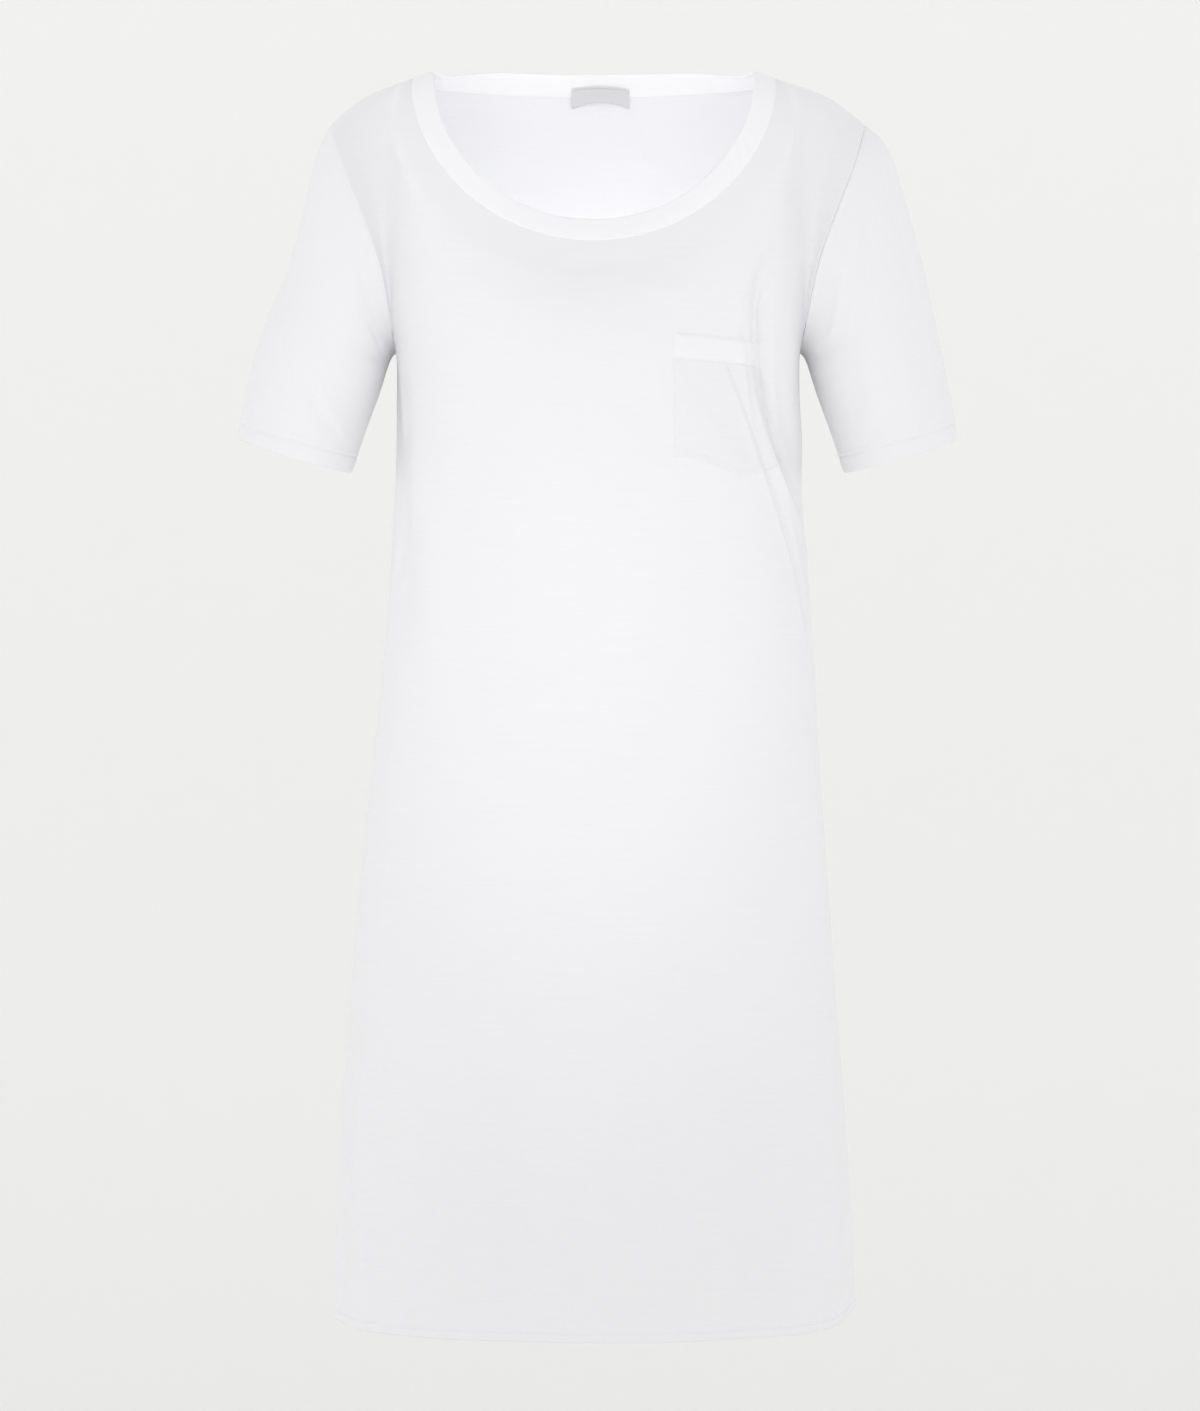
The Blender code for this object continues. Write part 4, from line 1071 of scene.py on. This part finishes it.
pocket_jersey = jersey("pocket_jersey", POCKET_WHITE, POCKET_SHADE)
front_tree = skin_tree(body_skins["front"])
across, level = patch_between(POCKET_FOOT, POCKET_TOP, POCKET_SPAN)
pocket = laid_patch(front_tree, across, level)
rim = rim_distance(pocket, ("left", "right", "foot"))
lift = POCKET_GAP + POCKET_JERSEY
lift = lift + POCKET_TURN_LIFT * smooth_step((POCKET_TURN - rim) / POCKET_TURN_SLOPE)
lift -= POCKET_GROOVE * hump(rim, POCKET_STITCH, POCKET_GROOVE_WIDTH)
pocket_skin, inner = tucked(pocket, rim, lift)
patch = cloth_mesh("pocket_cloth", pocket_skin, inner, (across, level), pocket_jersey)
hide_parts("pocket")
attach(patch, "root")

pocket_band_jersey = jersey("pocket_band_jersey", POCKET_BAND_WHITE, POCKET_BAND_SHADE)
across, level = patch_between(POCKET_SEAM, POCKET_BAND_TOP, POCKET_BAND_SPAN)
pocket_top = laid_patch(front_tree, across, level)
rim = rim_distance(pocket_top, ("left", "right", "top", "foot"))
lift = 2 * POCKET_JERSEY + BAND_PLUMP * smooth_step(rim / BAND_PLUMP_REACH)
pocket_band_skin, inner = tucked(pocket_top, rim, lift + POCKET_GAP)
strip = cloth_mesh("pocket_band_cloth", pocket_band_skin, inner, (across, level), pocket_band_jersey)
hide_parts("pocket_band")
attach(strip, "root")


# Neck label
# A blank strip of grey satin ribbon, sewn over the back neck seam on the inside. Its lower edge bows up.

LABEL_HALF_WIDTH = 0.0213
LABEL_SHIFT = 0.0018
LABEL_TOP = -0.0058
LABEL_FOOT = -0.0182
LABEL_TOP_BOW = 0.0012
LABEL_BOW = 0.0045
LABEL_SATIN = 0.0005
LABEL_GAP = 0.0007
LABEL_GREY = (0.690, 0.690, 0.705)
LABEL_SHADE = (0.660, 0.660, 0.676)
LABEL_ROWS = 15
LABEL_COLUMNS = 37
SATIN_ROUGHNESS = 0.55
SATIN_SHEEN = 0.1
WEFT_SCALE = (300.0, 4200.0, 1.0)
WEFT_RELIEF = 0.00005

satin = Finish("grey_satin", SATIN_ROUGHNESS, SATIN_SHEEN)
place = satin.node("ShaderNodeUVMap", {"uv_map": "cloth"}, {})
weft = satin.noise(place, WEFT_SCALE, detail=1.0)
satin.feed("Base Color", satin.mixed(weft, LABEL_GREY, LABEL_SHADE))
satin.relief(weft, WEFT_RELIEF)

share = np.linspace(-1, 1, LABEL_COLUMNS)[None]
up = np.linspace(0, 1, LABEL_ROWS)[:, None]
across = LABEL_SHIFT + LABEL_HALF_WIDTH * share * np.ones(up.shape)
foot = LABEL_FOOT + LABEL_BOW * (1 - share ** 2)
top = LABEL_TOP + LABEL_TOP_BOW * (1 - share ** 2)
level = foot + (top - foot) * up
inside_band = skin_tree(band_inside[:, band_inside.shape[1] // 2:])
inside_back = skin_tree(body_skins["back"])
label = np.zeros(across.shape + (3,))
for row, column in np.ndindex(across.shape):
    x, z = across[row, column], level[row, column]
    hits = [tree.ray_cast((x, 0.0, z), (0.0, 1.0, 0.0))[0] for tree in (inside_band, inside_back)]
    depths = [hit.y - extra for hit, extra in zip(hits, (0.0, JERSEY)) if hit is not None]
    label[row, column] = (x, min(depths) if depths else label[row - 1, column, 1], z)
line = np.polynomial.Polynomial.fit(level.ravel(), label[..., 1].ravel(), 1)
lowest = (label[..., 1] - line(level)).min()
label[..., 1] = line(level) + lowest - LABEL_GAP
behind = label + np.array((0.0, LABEL_SATIN, 0.0))
tag = cloth_mesh("label_cloth", label, behind, (across, level), satin.material)
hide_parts("label")
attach(tag, "root")


# Sewing
# White thread: one row round the hem, one round each cuff, one round the pocket close to its turned edge and
# one along the foot of its band. Every stitch is a small grain of thread that lies along its row.

THREAD = 0.00042
STITCH_PITCH = 0.0026
STITCH_SHARE = 0.78
THREAD_SINK = 0.00008
THREAD_WHITE = (0.95, 0.95, 0.96)
THREAD_SHADE = (0.88, 0.88, 0.90)
THREAD_ROUGHNESS = 0.75
THREAD_SHEEN = 0.1
TWIST_SCALE = (2600.0, 2600.0, 2600.0)
TWIST_RELIEF = 0.00004

thread = Finish("white_thread", THREAD_ROUGHNESS, THREAD_SHEEN)
place = thread.node("ShaderNodeTexCoord", {}, {}, output=3)
twist = thread.noise(place, TWIST_SCALE, detail=1.0)
thread.feed("Base Color", thread.mixed(twist, THREAD_WHITE, THREAD_SHADE))
thread.relief(twist, TWIST_RELIEF)


def stitch_tree():
    """Geometry Nodes that lay one grain of thread at each point, along "way" and outwards along "out"."""
    tree = bpy.data.node_groups.new("stitches", "GeometryNodeTree")
    face = tree.interface
    face.new_socket("Geometry", in_out="INPUT", socket_type="NodeSocketGeometry")
    for name in ("Stitch length", "Thread width"):
        face.new_socket(name, in_out="INPUT", socket_type="NodeSocketFloat")
    face.new_socket("Geometry", in_out="OUTPUT", socket_type="NodeSocketGeometry")

    def node(kind, settings, sockets):
        made = tree.nodes.new(kind)
        for name, value in settings.items():
            setattr(made, name, value)
        for name, value in sockets.items():
            if isinstance(value, bpy.types.NodeSocket):
                tree.links.new(value, made.inputs[name])
            else:
                made.inputs[name].default_value = value
        return made

    given = node("NodeGroupInput", {}, {}).outputs
    way = node("GeometryNodeInputNamedAttribute", {"data_type": "FLOAT_VECTOR"}, {"Name": "way"}).outputs[0]
    out = node("GeometryNodeInputNamedAttribute", {"data_type": "FLOAT_VECTOR"}, {"Name": "out"}).outputs[0]
    along = node("FunctionNodeAlignRotationToVector", {"axis": "X"}, {"Vector": way}).outputs[0]
    turned = {"axis": "Z", "pivot_axis": "X"}
    laid = node("FunctionNodeAlignRotationToVector", turned, {"Rotation": along, "Vector": out})
    grain = node("GeometryNodeMeshUVSphere", {}, {"Segments": 6, "Rings": 4, "Radius": 0.5}).outputs[0]
    size = node("ShaderNodeCombineXYZ", {}, {"X": given[1], "Y": given[2], "Z": given[2]}).outputs[0]
    rows = node("GeometryNodeInstanceOnPoints", {}, {
        "Points": given[0], "Instance": grain, "Rotation": laid.outputs[0], "Scale": size}).outputs[0]
    real = node("GeometryNodeRealizeInstances", {}, {"Geometry": rows}).outputs[0]
    soft = node("GeometryNodeSetShadeSmooth", {}, {"Geometry": real}).outputs[0]
    done = node("GeometryNodeSetMaterial", {}, {"Geometry": soft, "Material": thread.material}).outputs[0]
    node("NodeGroupOutput", {}, {"Geometry": done})
    return tree


stitches = stitch_tree()


def line_at(skin, edge, distance):
    """(points, normals) of the line on a skin at a distance from its edge, by the rows' distances."""
    order = np.argsort(edge)
    place = np.interp(distance, edge[order], np.arange(len(edge))[order])
    low = min(int(place), len(edge) - 2)
    part = place - low
    out = outward(skin)
    return skin[low] * (1 - part) + skin[low + 1] * part, out[low] * (1 - part) + out[low + 1] * part


def sewn(name, lines):
    """One mesh of stitches along some lines, each given as (points, normals)."""
    centres, ways, outs = [], [], []
    for points, normals in lines:
        run = path_run(points)
        spots = np.arange(STITCH_PITCH / 2, run[-1], STITCH_PITCH)
        here, after, out = (
            np.stack([np.interp(at, run, values[:, k]) for k in range(3)], axis=1)
            for at, values in ((spots, points), (spots + STITCH_PITCH / 4, points), (spots, normals)))
        out /= np.linalg.norm(out, axis=1)[:, None]
        centres.append(here + out * (THREAD / 2 - THREAD_SINK))
        ways.append(after - here)
        outs.append(out)
    centres = np.concatenate(centres)
    mesh = bpy.data.meshes.new(name)
    mesh.from_pydata(centres.tolist(), [], [])
    for axis, values in (("way", ways), ("out", outs)):
        made = mesh.attributes.new(axis, "FLOAT_VECTOR", "POINT")
        made.data.foreach_set("vector", np.concatenate(values).astype(np.float32).ravel())
    thread_row = placed(name, mesh)
    laying = thread_row.modifiers.new("stitches", "NODES")
    laying.node_group = stitches
    inputs = {item.name: item.identifier for item in stitches.interface.items_tree if item.in_out == "INPUT"}
    laying[inputs["Stitch length"]] = STITCH_PITCH * STITCH_SHARE
    laying[inputs["Thread width"]] = THREAD
    made = bpy.data.meshes.new_from_object(evaluated(thread_row))
    thread_row.modifiers.clear()
    thread_row.data = made
    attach(thread_row, "root")


def inset(patch, closed):
    """(points, normals) of the line inside a patch's rim, along its foot, or also along its sides."""
    first, last = POCKET_STITCH_STEPS, -POCKET_STITCH_STEPS - 1
    rows = []
    for values in (patch, outward(patch)):
        foot = values[first, first:last]
        sides = values[-2:first:-1, first], values[first:-1, last]
        rows.append(np.concatenate([sides[0], foot, sides[1]]) if closed else foot)
    return rows


sewn("hem_stitches", [line_at(body_skins[piece], body[piece][2][:, 0], HEM_STITCH) for piece in body])
for piece, (skin, edge) in sleeve_skins.items():
    sewn(f"{piece}_stitches", [line_at(skin, edge, CUFF_STITCH)])
sewn("pocket_stitches", [inset(pocket_skin, True), inset(pocket_band_skin, False)])


# Studio
# A pale floor that sweeps up into a wall behind the garment. Soft light comes from all round, and from four
# unseen lamps: a key in front, one inside the body for the back's inside, and one for each underarm.

PHOTO_SIZE = (1200, 1411)
METRES_A_PIXEL = 0.00073
CAMERA_PLACE = (0.00146, -3.2, -0.46246)
SENSOR = 24.0
FLOOR_LEVEL = -1.80
WALL_DEPTH = 4.6
WALL_HEIGHT = 4.0
STAGE_HALF_WIDTH = 7.0
STAGE_FRONT = -5.0
SWEEP_RADIUS = 1.2
SWEEP_STEPS = 24
STAGE_PALE = (0.945, 0.945, 0.931)
STAGE_SHADE = (0.80, 0.80, 0.79)
PAPER_ROUGHNESS = 1.0
PAPER_GRAIN = 0.02
PAPER_SCALE = (3.0, 3.0, 3.0)
LIGHT_WAY = (0.10, -0.98, 0.10)
SKY = 1.30
SKY_FRONT = 1.11
SKY_FRONT_RANGE = (-0.2, 1.0)
SKY_TOP = 0.54
SKY_TOP_RANGE = (0.15, 0.95)
KEY_PLACE = (-0.45, -1.9, 0.40)
KEY_TARGET = (0.0, 0.0, -0.20)
KEY_SIZE = (1.0, 1.0)
KEY_POWER = 1.0
FILL_PLACE = (0.25, -1.10, -1.10)
FILL_TARGET = (-0.168, -0.03, -0.25)
FILL_SIZE = (0.25, 0.25)
FILL_POWERS = {-1: 0.044, 1: 0.066}
FILL_SPREAD = 36
INNER_PLACE = (0.0, -0.035, -0.225)
INNER_TARGET = (0.0, 0.076, -0.118)
INNER_SIZE = (0.20, 0.06)
INNER_POWER = 0.205

camera = placed("camera", bpy.data.cameras.new("camera"))
camera.location = CAMERA_PLACE
camera.rotation_euler = (math.pi / 2, 0, 0)
camera.data.sensor_fit = "VERTICAL"
camera.data.sensor_height = SENSOR
camera.data.lens = SENSOR * -CAMERA_PLACE[1] / (PHOTO_SIZE[1] * METRES_A_PIXEL)
bpy.context.scene.camera = camera
bpy.context.scene.view_settings.view_transform = "Standard"

turns = np.linspace(0, math.pi / 2, SWEEP_STEPS)
profile = [(STAGE_FRONT, FLOOR_LEVEL)]
profile += [(WALL_DEPTH - SWEEP_RADIUS * (1 - math.sin(turn)),
             FLOOR_LEVEL + SWEEP_RADIUS * (1 - math.cos(turn))) for turn in turns]
profile.append((WALL_DEPTH, WALL_HEIGHT))
points = [(side * STAGE_HALF_WIDTH, y, z) for y, z in profile for side in (-1, 1)]
faces = [(2 * k, 2 * k + 1, 2 * k + 3, 2 * k + 2) for k in range(len(profile) - 1)]
sweep_mesh = bpy.data.meshes.new("studio_sweep")
sweep_mesh.from_pydata(points, [], faces)
sweep_mesh.shade_smooth()
paper = Finish("studio_paper", PAPER_ROUGHNESS)
place = paper.node("ShaderNodeTexCoord", {}, {}, output=3)
grain = paper.noise(place, PAPER_SCALE)
paper.feed("Base Color", paper.mixed(grain * PAPER_GRAIN, STAGE_PALE, STAGE_SHADE))
sweep_mesh.materials.append(paper.material)
placed("studio_sweep", sweep_mesh)

world = bpy.data.worlds.new("studio_light")
bpy.context.scene.world = world
sky = Nodes(world, "Background")
way = sky.node("ShaderNodeTexCoord", {}, {}, output=0)
up = sky.node("ShaderNodeSeparateXYZ", {}, {0: way}, output=2)
toward = sky.node("ShaderNodeVectorMath", {"operation": "DOT_PRODUCT"}, {0: way, 1: LIGHT_WAY}, output=1)
front = sky.ranged(toward, SKY_FRONT_RANGE, (SKY, SKY_FRONT), "SMOOTHSTEP")
over = sky.ranged(up, SKY_TOP_RANGE, (1.0, SKY_TOP), "SMOOTHSTEP")
sky.feed("Strength", front * over)
sky.shader.inputs["Color"].default_value = (1.0, 1.0, 1.0, 1.0)


def lamp(name, place, target, size, power, spread=180):
    """A soft rectangular lamp that lights a target and is itself unseen, with its spread in degrees."""
    light = placed(name, bpy.data.lights.new(name, "AREA"))
    light.data.shape = "RECTANGLE"
    light.data.size, light.data.size_y = size
    light.data.energy = power
    light.data.spread = math.radians(spread)
    light.location = place
    light.rotation_euler = (Vector(target) - Vector(place)).to_track_quat("-Z", "Y").to_euler()
    light.visible_camera = False


lamp("key", KEY_PLACE, KEY_TARGET, KEY_SIZE, KEY_POWER)
lamp("inner", INNER_PLACE, INNER_TARGET, INNER_SIZE, INNER_POWER)
for side in (-1, 1):
    x, y, z = FILL_PLACE
    across, depth, level = FILL_TARGET
    lamp("fill", (side * x, y, z), (side * across, depth, level), FILL_SIZE, FILL_POWERS[side], FILL_SPREAD)
